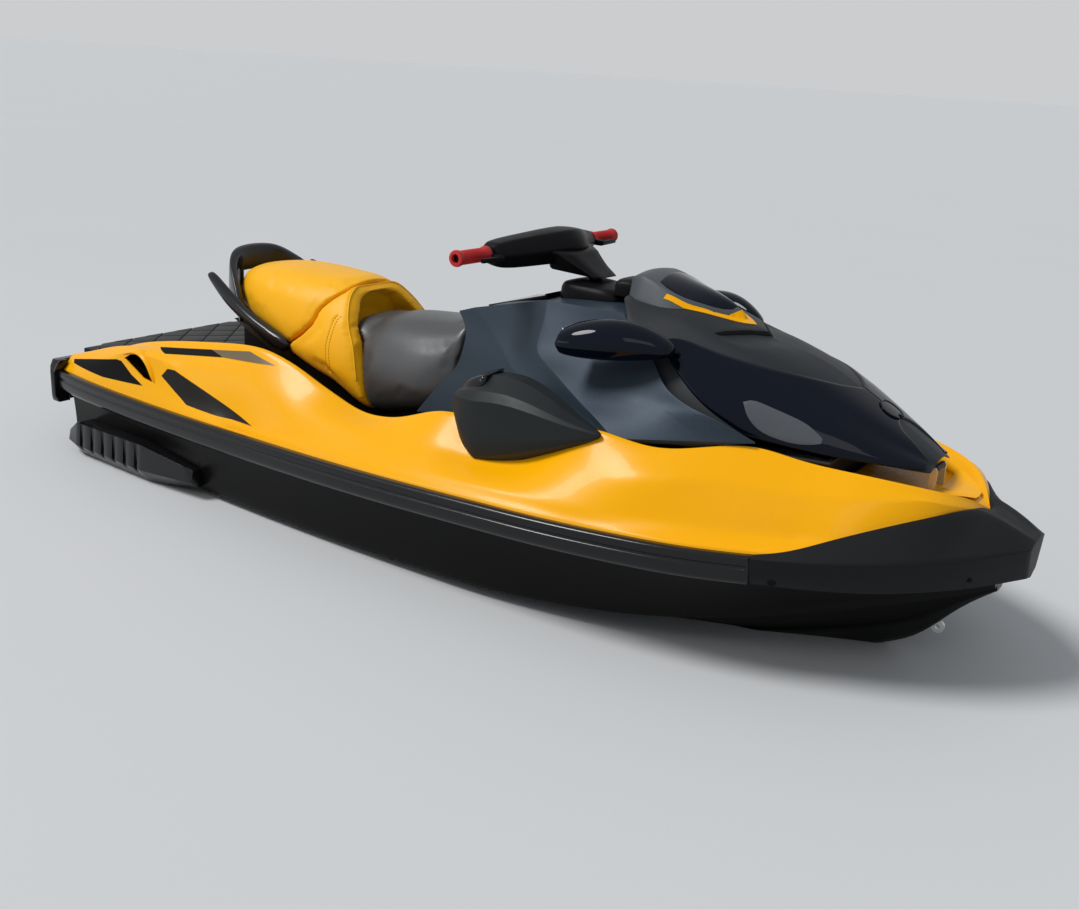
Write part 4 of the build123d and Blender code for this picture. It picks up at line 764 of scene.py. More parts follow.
def make_console():
    """The console between the panels, crowned a little, with its shut line round the glove box lid."""
    rows = []
    for x in steps(-8, 568, 44):
        half, top = CONSOLE_TOP.at(x)
        rows.append([spot(x, y, z) for y, z in (
            (0, top + 2), (half * 0.5, top + 1), (half - 14, top - 2), (half - 4, top - 8), (half - 6, top - 60),
            (half - 20, 560), (0, 560),
        )])
    bm = both_sides(weave(rows, ((3, 0.5), (5, 1.0)), ((0, 0.7), (-1, 0.9))))
    console = mesh_object("console_body", outward(close_ends(bm, -8, 568)))
    settle(round_off(console, 2))
    low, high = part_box("glove_lid")
    pocket = [
        [Vector((x, y, z + dz)) for y in (-0.098, 0.098) for dz in ((-0.10, 0.08) if y < 0 else (0.08, -0.10))]
        for x, z in ((low.x - 0.003, low.z), (high.x + 0.004, high.z))
    ]
    cut(console, closed(pocket))
    place(console, "panel_flake", "craft", ["console"], 32)


# hood

HOOD_TOP = Fair(
    (560, 996), (690, 994), (827, 958), (979, 914), (1075, 884), (1144, 853), (1213, 816), (1256, 792), (1350, 738),
    (1406, 702),
)
HOOD_SHOULDER = Fair(
    (560, 150, 980), (690, 166, 944), (850, 172, 898), (1000, 160, 862), (1150, 138, 808), (1293, 100, 742),
    (1406, 46, 692),
)
HOOD_EDGE = Fair(
    (560, 226, 900), (690, 262, 800), (850, 274, 752), (1000, 262, 726), (1150, 226, 712), (1293, 160, 700),
    (1406, 76, 684),
)
HOOD_REAR_X, HOOD_FRONT_X = 580, 1400


def hood_points(x):
    top_z, = HOOD_TOP.at(x)
    shoulder_y, shoulder_z = HOOD_SHOULDER.at(x)
    edge_y, edge_z = HOOD_EDGE.at(x)
    return [
        Vector((0, top_z, 0)), Vector((shoulder_y * 0.42, mix(top_z, shoulder_z, 0.16), 0)),
        Vector((shoulder_y * 0.76, mix(top_z, shoulder_z, 0.46), 0)), Vector((shoulder_y, shoulder_z, 0)),
        Vector((mix(shoulder_y, edge_y, 0.6), mix(shoulder_z, edge_z, 0.42), 0)), Vector((edge_y, edge_z, 0)),
    ]


def vent_line(y):
    """Where the hood steps down behind the vent, further back towards the sides."""
    return 902 - 92 * min(y / 138, 1.2)


def hood_at(x, u, lift=0.0):
    """A point of the hood's surface: u is 0 on the centreline and 1 at the lower edge."""
    fine = through(hood_points(x), 41)
    place_ = min(39.999, max(0, u * 40))
    k = int(place_)
    p = fine[k].lerp(fine[k + 1], place_ - k)
    q = fine[k + 1] - fine[k]
    normal = Vector((-q.y, q.x, 0)).normalized()
    if normal.y < 0 and u < 0.3:
        normal = -normal
    past = x - vent_line(p.x)
    sunk = 11 * ramp(past, 0, 9) * (1 - ramp(past, 14, 120)) * (1 - ramp(p.x, 118, 140))
    flare = 17 * ramp(u, 0.6, 0.95) * ramp(x, 640, 770) * (1 - ramp(x, 900, 1050))
    rear = 62 * (1 - ramp(x, 580, 700)) * (1 - ramp(p.x, 110, 215))
    return spot(x - rear, p.x + normal.x * lift + flare, p.y + abs(normal.y) * lift - sunk)


def make_hood():
    """The hood's charcoal moulding: crowned top, sunken tray behind the vent and a wall round the edge."""
    shares = [k / 28 for k in range(29)]
    places = steps(HOOD_REAR_X, 780, 33) + steps(792, 924, 11) + steps(950, HOOD_FRONT_X, 34)
    rows = [[hood_at(x, u) for u in shares] for x in places]
    bm = both_sides(weave(rows))
    hood = mesh_object("hood_moulding", outward(bm, spot(1000, 0, 600)))
    thicken(hood, 0.006)
    settle(hood)
    both = joined("hood_frame", [round_off(hood, 1), mesh_object("hood_knuckle", knuckle())])
    place(both, "saddle_grey", "lid", ["hood"], 38)


def knuckle():
    """The round hinge boss under the hood's nose."""
    x, z, radius = 1394, 680, 8
    rows = []
    for y in (-30, 30):
        rows.append(
            [
                spot(x + radius * math.cos(a * math.tau / 24), y, z + radius * math.sin(a * math.tau / 24))
                for a in range(24)
            ]
        )
    return closed(rows)


SHELL_TOP = Fair(
    (698, 0.66), (704, 0.63), (718, 0.59), (750, 0.55), (791, 0.53), (874, 0.5), (951, 0.46), (1025, 0.4), (1093, 0.31),
    (1147, 0.16), (1176, 0.0), (1276, 0.0), (1290, 0.13), (1308, 0.235), (1335, 0.31), (1372, 0.5), (1400, 0.66),
)
SHELL_LOW = Fair(
    (698, 0.67), (707, 0.695), (742, 0.755), (789, 0.82), (835, 0.875), (883, 0.92), (938, 0.96), (982, 1.0),
    (1420, 1.0)
)


def make_hood_shell():
    """The gloss navy shell over the hood's nose and flanks, with rolled edges."""
    rows = []
    places = [698, 704, 714, 730, 748] + steps(770, 1130, 30) + [1150, 1164, 1172, 1176] + steps(1200, 1272, 24)
    places += [1276, 1283, 1290, 1299, 1308, 1321, 1335, 1354, 1372, 1386]
    for x in places:
        top, low = SHELL_TOP.at(x)[0], SHELL_LOW.at(x)[0]
        row = []
        for k in range(15):
            u = mix(top, low, k / 14)
            edge = min(k, 14 - k) if top > 0.001 else 14 - k
            lift = 1.0 if edge == 0 else 5.5
            row.append(hood_at(x, u, lift))
        rows.append(row)
    bm = both_sides(weave(rows, ((1, 0.3), (13, 0.3)), ((-1, 0.8),)))
    bmesh.ops.remove_doubles(bm, verts=bm.verts[:], dist=2e-4)
    shell = mesh_object("hood_gloss_shell", outward(bm, spot(1000, 0, 600)))
    thicken(shell, 0.003)
    place(round_off(shell, 2), "navy_gloss", "lid", ["hood_panel"])


HUMP = (
    (514, 78, 1036), (524, 86, 1050), (556, 92, 1056), (600, 96, 1049), (650, 98, 1038), (700, 88, 1027),
    (745, 66, 1015), (785, 38, 1000), (812, 16, 984), (830, 5, 966),
)


def make_deflector():
    """The wedge over the hood's rear end: flat topped, with walls that draw together to a point ahead."""
    rows = []
    for x, half, crown in HUMP:
        foot = (hood_at(max(x + 50, 600), 0.34).z + DRAFT) * 1000 - 6
        drop = 20 * ramp(x, 560, 690) * (1 - ramp(x, 780, 830))
        spread = 26 * ramp(x, 500, 560) * (1 - ramp(x, 730, 830))
        rows.append([spot(x, y, z) for y, z in (
            (0, crown), (half * 0.5, crown - 3 - drop * 0.4), (half, crown - 10 - drop), (
                half + spread * 0.7, mix(crown - drop, foot, 0.6)
            ),
            (half + 6 + spread, foot), (half + spread, foot - 14), (0, foot - 10),
        )])
    bm = both_sides(weave(rows, ((2, 0.9), (4, 0.8)), ((0, 0.8), (2, 0.4), (-1, 0.5))))
    hump = mesh_object("wind_hump", outward(close_ends(bm, HUMP[0][0], HUMP[-1][0])))
    place(round_off(hump, 2), "insert_grey", "lid", ["deflector"])


MIRROR = (
    (484, 318, 396, 868, 926), (488, 306, 402, 861, 934), (520, 296, 404, 858, 948), (570, 284, 396, 858, 962),
    (640, 260, 374, 862, 968), (700, 248, 340, 870, 952), (744, 244, 306, 878, 928), (764, 246, 286, 884, 910),
)
MIRROR_ARM = ((180, 700, 776, 866, 14), (222, 702, 770, 882, 12), (248, 704, 758, 894, 11), (284, 706, 744, 904, 11))


def make_mirrors():
    """The gloss navy mirror pods, each on a short arm that grows out of the hood's side."""
    for side, label in SIDES:
        rows = []
        for x, inner, outer, low, top in MIRROR:
            rows.append([spot(x, y, z) for y, z in (
                (inner, mix(low, top, 0.3)), (mix(inner, outer, 0.3), low), (mix(inner, outer, 0.8), low + 2),
                (outer, mix(low, top, 0.36)), (mix(inner, outer, 0.88), mix(low, top, 0.74)),
                (mix(inner, outer, 0.55), top - 2), (mix(inner, outer, 0.25), top), (inner, mix(low, top, 0.8)),
            )])
        bm = weave(rows, ((1, 0.3), (2, 0.6), (3, 0.6)), ((0, 0.8),), True, (True, True))
        pod = mesh_object(f"mirror_pod_{label}", outward(on_side(bm, side)))
        place(round_off(pod, 2), "navy_gloss", "lid", [f"mirror_housing_{label}"])
        rows = []
        for y, x0, x1, z, thick in MIRROR_ARM:
            rows.append([spot(mix(x0, x1, along), y, z + thick * up) for along, up in (
                (0, 0), (0.3, 1), (0.7, 0.8), (1, 0), (0.7, -0.8), (0.3, -1),
            )])
        bm = weave(rows, (), (), True, (True, True))
        place(round_off(mesh_object(f"mirror_arm_{label}", outward(on_side(bm, side))), 2), "navy_gloss", "lid")


# seats and handle

SEAT_REAR = (
    (-1052, 90, 70, 738, 826), (-1034, 122, 94, 728, 838), (-1000, 152, 122, 714, 850), (-930, 186, 150, 694, 864),
    (-860, 200, 164, 672, 870), (-780, 212, 172, 650, 872), (-700, 222, 176, 626, 870), (-600, 232, 168, 596, 868),
    (-540, 238, 156, 570, 868), (-480, 241, 144, 548, 868),
)
BOLSTER = (
    (-710, 226, 176, 612, 862), (-656, 232, 176, 596, 864), (-610, 238, 168, 580, 868), (-560, 242, 160, 564, 874),
    (-500, 244, 148, 548, 877), (-450, 245, 140, 530, 871), (-410, 244, 132, 508, 866),
)
SEAT_FRONT = (
    (-404, 222, 156, 500, 766), (-360, 226, 160, 486, 778), (-316, 229, 164, 478, 788), (-200, 231, 166, 512, 796),
    (-120, 222, 160, 526, 806), (-60, 204, 150, 548, 824), (-16, 180, 136, 590, 850),
)
SEAT_SEAM = (
    (-500, 900), (-512, 862), (-524, 840), (-552, 814), (-580, 780), (-592, 731), (-628, 690), (-684, 652),
    (-730, 600)
)


def seat_section(low_half, top_half, low, top):
    half = [
        (0, low), (low_half * 0.7, low), (low_half, mix(low, top, 0.05)), (low_half + 2, mix(low, top, 0.3)),
        (mix(low_half, top_half, 0.45), mix(low, top, 0.62)), (top_half, mix(low, top, 0.84)),
        (top_half * 0.66, mix(low, top, 0.955)), (top_half * 0.3, mix(low, top, 0.99)), (0, top),
    ]
    return half + [(-y, z) for y, z in reversed(half) if y > 0.01]


CUSHION_CELL, QUICK_CELL = 0.0065, 0.008  # metres
CLOTH_FRAMES, CLOTH_PRESSURE = 20, 4.0


def remeshed(obj, cell):
    modifier = obj.modifiers.new("Even", "REMESH")
    modifier.mode = "VOXEL"
    modifier.voxel_size = cell
    return settle(obj)


def swell(obj, grow):
    """Fills a closed cushion with cloth pressure, and caps how far any point may move."""
    remeshed(obj, CUSHION_CELL)
    rest = [v.co.copy() for v in obj.data.vertices]
    cloth = obj.modifiers.new("Fill", "CLOTH")
    cloth.settings.quality = 4
    cloth.settings.mass = 0.4
    cloth.settings.tension_stiffness = cloth.settings.compression_stiffness = 25
    cloth.settings.bending_stiffness = 2.0
    cloth.settings.use_pressure = True
    cloth.settings.uniform_pressure_force = CLOTH_PRESSURE
    cloth.settings.effector_weights.gravity = 0
    cloth.collision_settings.use_collision = False
    cloth.point_cache.frame_start, cloth.point_cache.frame_end = 1, CLOTH_FRAMES
    scene = bpy.context.scene
    for number in range(1, CLOTH_FRAMES + 1):
        scene.frame_set(number)
    shown = bpy.context.evaluated_depsgraph_get()
    moved = obj.evaluated_get(shown).to_mesh()
    ends = [v.co.copy() for v in moved.vertices]
    obj.evaluated_get(shown).to_mesh_clear()
    obj.modifiers.clear()
    scene.frame_set(1)
    for v, start, end in zip(obj.data.vertices, rest, ends):
        way = end - start
        v.co = start + way * min(1.0, grow / max(way.length, 1e-9))
    relax(obj, 3)
    return obj


def relax(obj, times):
    bm = bmesh.new()
    bm.from_mesh(obj.data)
    for _ in range(times):
        bmesh.ops.smooth_vert(bm, verts=bm.verts[:], factor=0.5, use_axis_x=True, use_axis_y=True, use_axis_z=True)
    bm.to_mesh(obj.data)
    bm.free()


def groove(obj, lines, depth, width):
    """Draws sewn seams into a cushion along lines of frame points."""
    from mathutils.kdtree import KDTree
    points = [p for line in lines for p in through(line, 90)]
    tree = KDTree(len(points))
    for i, p in enumerate(points):
        tree.insert(p, i)
    tree.balance()
    for v in obj.data.vertices:
        _, _, gap = tree.find(v.co)
        if gap < width * 3:
            v.co -= v.normal * depth * math.exp(-(gap / width) ** 2)


def cushion(name, rows, rings, nodes, finish, seams=(), cave=None, grow=0.005):
    table = [[spot(x, y, z) for y, z in seat_section(*rest)] for x, *rest in rows]
    obj = mesh_object(name, closed(table, (), rings))
    round_off(obj, 2)
    settle(obj)
    if cave:
        for tool in cave:
            cut(obj, tool)
    swell(obj, grow)
    place(obj, finish, "craft", nodes)
    if seams:
        round_off(obj, 1)
        settle(obj)
        groove(obj, seams, 0.0045, 0.004)
        shade(obj)
    return obj


SEAT_SPLIT = ((-310, 470), (-362, 580), (-406, 690), (-441, 739), (-469, 786), (-498, 831), (-518, 866), (-530, 920))


def cove_tool():
    """The hollow behind the rider, under the arch of the bolster."""
    rows = []
    for x, scale in ((-300, 1.0), (-440, 1.0), (-490, 0.98), (-535, 0.88), (-556, 0.62)):
        half, crown, floor = 118 * scale, mix(640, 842, scale), 560
        rows.append([spot(x, y, z) for y, z in (
            (0, floor), (half * 1.5, floor), (half * 1.45, 660), (half * 1.2, mix(660, crown, 0.5)), (
                half * 0.75, mix(660, crown, 0.88)
            ), (half * 0.3, mix(660, crown, 0.99)),
            (-half * 0.3, mix(660, crown, 0.99)), (
                -half * 0.75, mix(660, crown, 0.88)
            ), (-half * 1.2, mix(660, crown, 0.5)), (-half * 1.45, 660), (-half * 1.5, floor),
        )])
    return closed(rows)


STITCHES = (
    ((-500, 185, 766), (-506, 199, 748), (-503, 229, 677), (-490, 238, 630), (-481, 239, 597)),
    ((-486, 186, 766), (-492, 201, 746), (-489, 230, 676), (-476, 239, 628), (-467, 240, 596)),
)


def make_seats():
    """The three cushions: the passenger's and the arched bolster, sewn together, and the rider's."""
    stitch = [[spot(x, side * y, z) for x, y, z in line] for line in STITCHES[:1] for side in (1, -1)]
    ahead = [(-380, 300), *[(x - 3, z) for x, z in reversed(SEAT_SEAM)], (-380, 1000)]
    behind = [(-1100, 300), *[(x + 3, z) for x, z in reversed(SEAT_SEAM)], (-1100, 1000)]
    cushion(
        "passenger_seat", SEAT_REAR, ((0, 0.3), (-1, 0.5)), ["seat_rear"], "seat_yellow_vinyl", (),
        [block_between(ahead, -400, 400)],
    )
    front_cut = [(SEAT_SPLIT[0][0] + 90, 300), *SEAT_SPLIT, (-300, 1000), (0, 1000), (0, 300)]
    rows = BOLSTER + ((-360, 240, 126, 490, 860), (-300, 234, 120, 470, 850))
    cushion(
        "seat_bolster_arch", rows, ((0, 0.5),), ["seat_bolster"], "seat_yellow_vinyl", stitch,
        [block_between(front_cut, -400, 400), cove_tool(), block_between(behind, -400, 400)],
    )
    rear_cut = [
        (-620, 300), (SEAT_SPLIT[0][0] + 4, 300), *[(x + 3, z) for x, z in SEAT_SPLIT[:3]], (-420, 712), (-500, 735),
        (-620, 735)
    ]
    rider = ((-506, 96, 80, 706, 742), (-474, 146, 116, 690, 757), (-440, 186, 140, 640, 763)) + SEAT_FRONT
    line = [
        [
            spot(-406, side * 172, 733), spot(-358, side * 166, 732), spot(-278, side * 168, 742),
            spot(-204, side * 160, 756), spot(-130, side * 150, 778), spot(-60, side * 146, 800)
        ]
        for side in (-1, 1)
    ]
    cushion(
        "rider_seat", rider, ((0, 0.3), (-1, 0.4)), ["seat_front"], "seat_black_vinyl", line,
        [block_between(rear_cut, -400, 400)]
    )
    skin = surface_of("seat_bolster_arch")
    rim = (
        (-366, 236, 590), (-400, 214, 668), (-416, 205, 699), (-441, 192, 739), (-469, 167, 786), (-498, 122, 831),
        (-514, 60, 858), (-520, 0, 866)
    )
    rim = [spot(*p) for p in rim] + [spot(x, -y, z) for x, y, z in reversed(rim[:-1])]
    piping = swept("seat_piping", [skin.find_nearest(p)[0] for p in through(rim, 90)], 0.0028, 8)
    place(piping, "seat_yellow_vinyl", "craft")


HOOP_OUTER = ((-890, 250), (-945, 220), (-1003, 188), (-1058, 154), (-1088, 116), (-1106, 70), (-1114, 0))
HOOP_INNER = ((-890, 214), (-940, 192), (-1000, 160), (-1042, 126), (-1066, 92), (-1076, 56), (-1080, 0))
HOOP_HIGH = (712, 776, 832, 868, 894, 905, 908)
HOOP_LOW = (690, 712, 722, 728, 729, 729, 729)


def make_grab_handle():
    """The hoop behind the rear seat and the two rails that run forward along the seat's foot."""
    rows = []
    for (xo, yo), (xi, yi), high, low in zip(HOOP_OUTER, HOOP_INNER, HOOP_HIGH, HOOP_LOW):
        xm, ym = mix(xo, xi, 0.5), mix(yo, yi, 0.5)
        rows.append([
            spot(xo, yo, low), spot(xo - 2, yo + 1, mix(low, high, 0.5)), spot(
                mix(xo, xm, 0.15), mix(yo, ym, 0.15), high - 5
            ),
            spot(mix(xo, xm, 0.6), mix(yo, ym, 0.6), high), spot(mix(xi, xm, 0.2), mix(yi, ym, 0.2), high - 4),
            spot(xi, yi, high - 16), spot(xi, yi, mix(low, high, 0.4)), spot(xi, yi, low),
        ])
    for p in rows[-1]:
        p.y = 0.0
    bm = weave(rows, ((0, 1.0), (2, 0.3), (5, 0.5), (7, 1.0)), ((0, 0.8),), True, (True, False))
    bm = both_sides(bm)
    hoop = mesh_object("hoop", outward(bm, spot(-1080, 0, 800)))
    settle(round_off(hoop, 2))
    cut(hoop, solid_block((-1130, -72, 762), (-1060, 72, 820)))
    parts = [hoop]
    for side in (1, -1):
        upper = ((-1050, 837), (-1030, 834), (-974, 797), (-900, 751), (-828, 714), (-727, 682), (-664, 662))
        lower = ((-1052, 812), (-1036, 794), (-996, 757), (-946, 722), (-880, 690), (-800, 654), (-680, 600))
        tip = [spot(-1056, side * 238, 826)] * 6
        rows = [tip]
        for (xu, zu), (xl, zl) in zip(upper, lower):
            rows.append([
                spot(xu, side * 222, zu - 3), spot(
                    mix(xu, xl, 0.06), side * 236, zu + 1
                ), spot(mix(xu, xl, 0.2), side * 250, zu - 7),
                spot(
                    mix(xu, xl, 0.72), side * 251, mix(zu, zl, 0.62)
                ), spot(xl, side * 242, zl), spot(xl, side * 222, zl + 3),
            ])
        bm = weave(rows, ((2, 0.5), (4, 0.5)), (), True, (False, True))
        bmesh.ops.remove_doubles(bm, verts=bm.verts[:], dist=1e-5)
        parts.append(round_off(mesh_object("arm", outward(bm)), 2))
        web = [
            [spot(x, y, z) for x, z in ((-944, 690), (-800, 664), (-676, 640), (-676, 606), (-740, 606), (-855, 650))]
            for y in (side * 190, side * 228)
        ]
        parts.append(mesh_object("web", closed(web)))
    handle = joined("grab_hoop", parts)
    place(handle, "handle_satin", "craft", ["grab_handle"], 40)


# steering

def lofted(name, sections, creases=(), rings=(), levels=2):
    return round_off(mesh_object(name, closed(sections, creases, rings)), levels)


def make_bars():
    """The bar cover, its neck, the bar ends under the grips and the steering shaft's housing."""
    rows = []
    cover = (
        (250, 150, 1058, 26, 24), (236, 151, 1058, 40, 34), (196, 156, 1059, 48, 40), (130, 182, 1066, 55, 43),
        (60, 220, 1077, 62, 46), (0, 234, 1080, 66, 48)
    )
    for y, x, z, half_x, half_z in cover + tuple((-row[0], *row[1:]) for row in reversed(cover[:-1])):
        rows.append([spot(x + dx * half_x, -y, z + dz * half_z) for dx, dz in (
            (-0.98, -0.62), (-1.04, 0.1), (-0.9, 0.62), (-0.62, 0.96), (0.0, 1.02), (0.5, 0.96), (0.84, 0.5),
            (1.0, 0.0), (0.62, -0.98), (-0.2, -0.9),
        )])
    pad = lofted(
        "pad", rows, ((1, 0.5), (2, 0.4), (3, 0.7), (5, 0.7), (7, 0.8), (8, 0.7), (0, 0.6)),
        ((0, 0.6), (1, 0.4), (-2, 0.4), (-1, 0.6))
    )
    neck = []
    for rear, front, half, z, slope in (
        (212, 396, 56, 1012, 0.04), (211, 380, 61, 1026, 0.07), (208, 354, 70, 1042, 0.10),
        (196, 308, 98, 1068, 0.06), (194, 300, 106, 1078, 0.06)
    ):
        nip = half * 0.3
        neck.append([spot(x, y, z - slope * (x - rear)) for x, y in (
            (rear, half - nip), (rear + nip, half), (front - nip, half), (front, half - nip),
            (front, nip - half), (front - nip, -half), (rear + nip, -half), (rear, nip - half),
        )])
    parts = [pad, lofted("neck", neck, [(j, 0.6) for j in range(8)], ((0, 0.9),))]
    for side in (1, -1):
        parts.append(swept("bar", [spot(150, side * y, 1062) for y in (200, 260, 320, 391)], 0.011, 16))
    plane = Vector((-math.sin(math.radians(40)), 0, math.cos(math.radians(40))))
    base = spot(372, 0, 968)
    parts.append(swept("shaft", [base - plane * 0.06, base + plane * 0.078], 0.0158, 24))
    bars = joined("bar_cover", parts)
    place(bars, "trim_matte", "bars", ["handlebar"], 45)


def make_grips():
    """Red rubber grips with flared ends and fine rings, made by a node tree that repeats one ring."""
    for side, label in SIDES:
        rows = []
        for y, radius in (
            (265, 11.6), (265, 22.0), (267, 23.6), (272, 23.6), (276, 21.5), (281, 18.6), (330, 18.0), (370, 18.4),
            (384, 19.2), (391, 22.6),
            (397, 23.0), (401, 21.6), (402, 18.0), (402, 12.5), (392, 11.6),
        ):
            rows.append(
                [
                    spot(
                        150 + radius * math.cos(a * math.tau / 32), side * y,
                        1062 + radius * math.sin(a * math.tau / 32)
                    )
                    for a in range(32)
                ]
            )
        bm = weave(rows, (), (), True)
        bmesh.ops.recalc_face_normals(bm, faces=bm.faces[:])
        grip = mesh_object(f"grip_body_{label}", bm)
        ring = []
        for a in range(33):
            ring.append(
                spot(150 + 18.8 * math.cos(a * math.tau / 32), side * 294, 1062 + 18.8 * math.sin(a * math.tau / 32))
            )
        bead = swept("ring", ring, 0.0011, 8)
        ribs = repeated(bead, 15, (0, side * 0.0058, 0), bpy.data.materials["grip_rubber"])
        obj = joined(f"hand_grip_{label}", [grip, ribs])
        place(obj, "grip_rubber", "bars", [f"grip_{label}"], 50)


def set_out(host, label, fields, arrange):
    """Gives an object a node tree that sets copies of a piece on points, in one finish, and applies it.

    fields are the tree's inputs as (name, socket type, value). arrange adds the nodes that make the
    points, and returns the sockets of the points, of their rotation or None, and of the piece."""
    tree = bpy.data.node_groups.new(label, "GeometryNodeTree")
    link = tree.links.new
    for way in ("INPUT", "OUTPUT"):
        tree.interface.new_socket(name="Geometry", in_out=way, socket_type="NodeSocketGeometry")
    sockets = [tree.interface.new_socket(name=name, in_out="INPUT", socket_type=kind) for name, kind, _ in fields]
    inlet, outlet = tree.nodes.new("NodeGroupInput"), tree.nodes.new("NodeGroupOutput")
    spread = tree.nodes.new("GeometryNodeInstanceOnPoints")
    real = tree.nodes.new("GeometryNodeRealizeInstances")
    paint = tree.nodes.new("GeometryNodeSetMaterial")
    for name, source in zip(("Points", "Rotation", "Instance"), arrange(tree, inlet.outputs)):
        if source is not None:
            link(source, spread.inputs[name])
    link(spread.outputs["Instances"], real.inputs["Geometry"])
    link(real.outputs["Geometry"], paint.inputs["Geometry"])
    link(inlet.outputs["Finish"], paint.inputs["Material"])
    link(paint.outputs["Geometry"], outlet.inputs["Geometry"])
    modifier = host.modifiers.new("Repeat", "NODES")
    modifier.node_group = tree
    for socket, (_, _, value) in zip(sockets, fields):
        modifier[socket.identifier] = value
    return settle(host)


def repeated(unit, count, step, finish):
    """Sets copies of a piece in a row, and returns them as a plain mesh."""

    def arrange(tree, given):
        line = tree.nodes.new("GeometryNodeMeshLine")
        line.mode = "OFFSET"
        tree.links.new(given["Count"], line.inputs["Count"])
        tree.links.new(given["Step"], line.inputs["Offset"])
        return line.outputs["Mesh"], None, given["Geometry"]

    fields = (
        ("Count", "NodeSocketInt", count), ("Step", "NodeSocketVector", step),
        ("Finish", "NodeSocketMaterial", finish)
    )
    return set_out(unit, "Repeat in a row", fields, arrange)


def strewn(name, unit, guide, spacing, finish):
    """Sets copies of a small piece at even steps along a line of frame points, square to the line."""

    def arrange(tree, given):
        curve = tree.nodes.new("GeometryNodeMeshToCurve")
        points = tree.nodes.new("GeometryNodeCurveToPoints")
        points.mode = "LENGTH"
        info = tree.nodes.new("GeometryNodeObjectInfo")
        tree.links.new(given["Geometry"], curve.inputs["Mesh"])
        tree.links.new(curve.outputs["Curve"], points.inputs["Curve"])
        tree.links.new(given["Spacing"], points.inputs["Length"])
        tree.links.new(given["Piece"], info.inputs["Object"])
        return points.outputs["Points"], points.outputs["Rotation"], info.outputs["Geometry"]

    bm = bmesh.new()
    verts = [bm.verts.new(p) for p in guide]
    for a, b in zip(verts, verts[1:]):
        bm.edges.new((a, b))
    fields = (
        ("Spacing", "NodeSocketFloat", spacing), ("Piece", "NodeSocketObject", unit),
        ("Finish", "NodeSocketMaterial", finish)
    )
    rows = set_out(mesh_object(name, bm), "Repeat along a line", fields, arrange)
    bpy.data.objects.remove(unit)
    return rows


def make_gauge():
    """The instrument in its dark well ahead of the bars, and the rubber boot round the steering shaft."""
    low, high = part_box("gauge")
    rows = []
    for x, z0, z1, half in (
        (low.x, low.z, high.z - 0.006, 0.064), (low.x + 0.02, low.z, high.z, 0.066),
        (high.x - 0.01, low.z, high.z - 0.002, 0.060), (high.x, low.z, high.z - 0.014, 0.052)
    ):
        rows.append(
            [
                Vector((x, y, z)) for y,
                z in (
                    (-half, z0), (-half, mix(z0, z1, 0.7)), (-half * 0.8, z1), (half * 0.8, z1),
                    (half, mix(z0, z1, 0.7)), (half, z0)
                )
            ]
        )
    body = lofted("instrument", rows, ((0, 1.0), (5, 1.0)), ((0, 0.9), (-1, 0.5)))
    settle(body)
    place(body, "trim_matte", "craft", ["gauge"], 40)
    tilt = Vector((low.x - 0.001, 0, 0))
    face = []
    for y in (-0.052, 0.052):
        face.append(
            [
                Vector((tilt.x, y, low.z + 0.012)), Vector((tilt.x, y, high.z - 0.012)),
                Vector((tilt.x + 0.004, y, high.z - 0.012)), Vector((tilt.x + 0.004, y, low.z + 0.012))
            ]
        )
    screen = mesh_object("instrument_face", closed(face))
    soften(screen, 0.0015, 30, 3)
    settle(screen)
    place(screen, "screen_glass", "craft", (), 30)
    boot = []
    for z, rear, front, half in (
        (926, 262, 476, 86), (956, 262, 472, 84), (972, 262, 462, 80), (981, 268, 448, 72), (987, 286, 426, 56),
        (992, 308, 404, 45), (994, 320, 390, 35)
    ):
        nip = half * 0.35
        ring = [
            (rear, half - nip), (rear + nip, half), (mix(rear, front, 0.5), half + 2), (front - nip, half),
            (front, half - nip), (front + 2, 0), (front, nip - half), (front - nip, -half),
            (mix(rear, front, 0.5), -half - 2), (rear + nip, -half), (rear, nip - half), (rear - 2, 0)
        ]
        boot.append([spot(x, y, z) for x, y in ring])
    sleeve = lofted("steering_boot", boot, (), ((0, 1.0), (3, 0.5), (-1, 0.4)))
    place(sleeve, "trim_matte", "craft", ["steering_column"])


# mats and carried-over parts

def foam_pads(name, node, pitch=0.082, rise=0.0018):
    """The raised pads of a mat: its top is parted by two families of slanting grooves."""
    top = copy_of(node)
    bmesh.ops.delete(top, geom=[f for f in top.faces if f.normal.z < 0.9], context="FACES")
    for slant in (38, -38):
        normal = Vector((math.cos(math.radians(slant)), math.sin(math.radians(slant)), 0))
        reach = [v.co.dot(normal) for v in top.verts]
        for at in steps(min(reach), max(reach), pitch)[1:-1]:
            bmesh.ops.bisect_plane(
                top, geom=top.verts[:] + top.edges[:] + top.faces[:], plane_co=normal * at, plane_no=normal
            )
    pads = bmesh.new()
    for face in top.faces:
        if face.calc_area() < pitch * pitch * 0.1:
            continue
        centre = face.calc_center_median()
        rings = []
        for share, lift in ((0.92, -0.001), (0.92, rise * 0.6), (0.88, rise)):
            rings.append(
                [pads.verts.new(centre + (v.co - centre) * share + Vector((0, 0, lift))) for v in face.verts]
            )
        for low, high in zip(rings, rings[1:]):
            for k in range(len(low)):
                j = (k + 1) % len(low)
                pads.faces.new((low[k], low[j], high[j], high[k]))
        pads.faces.new(rings[0])
        pads.faces.new(rings[-1])
    top.free()
    return mesh_object(name, outward(pads))


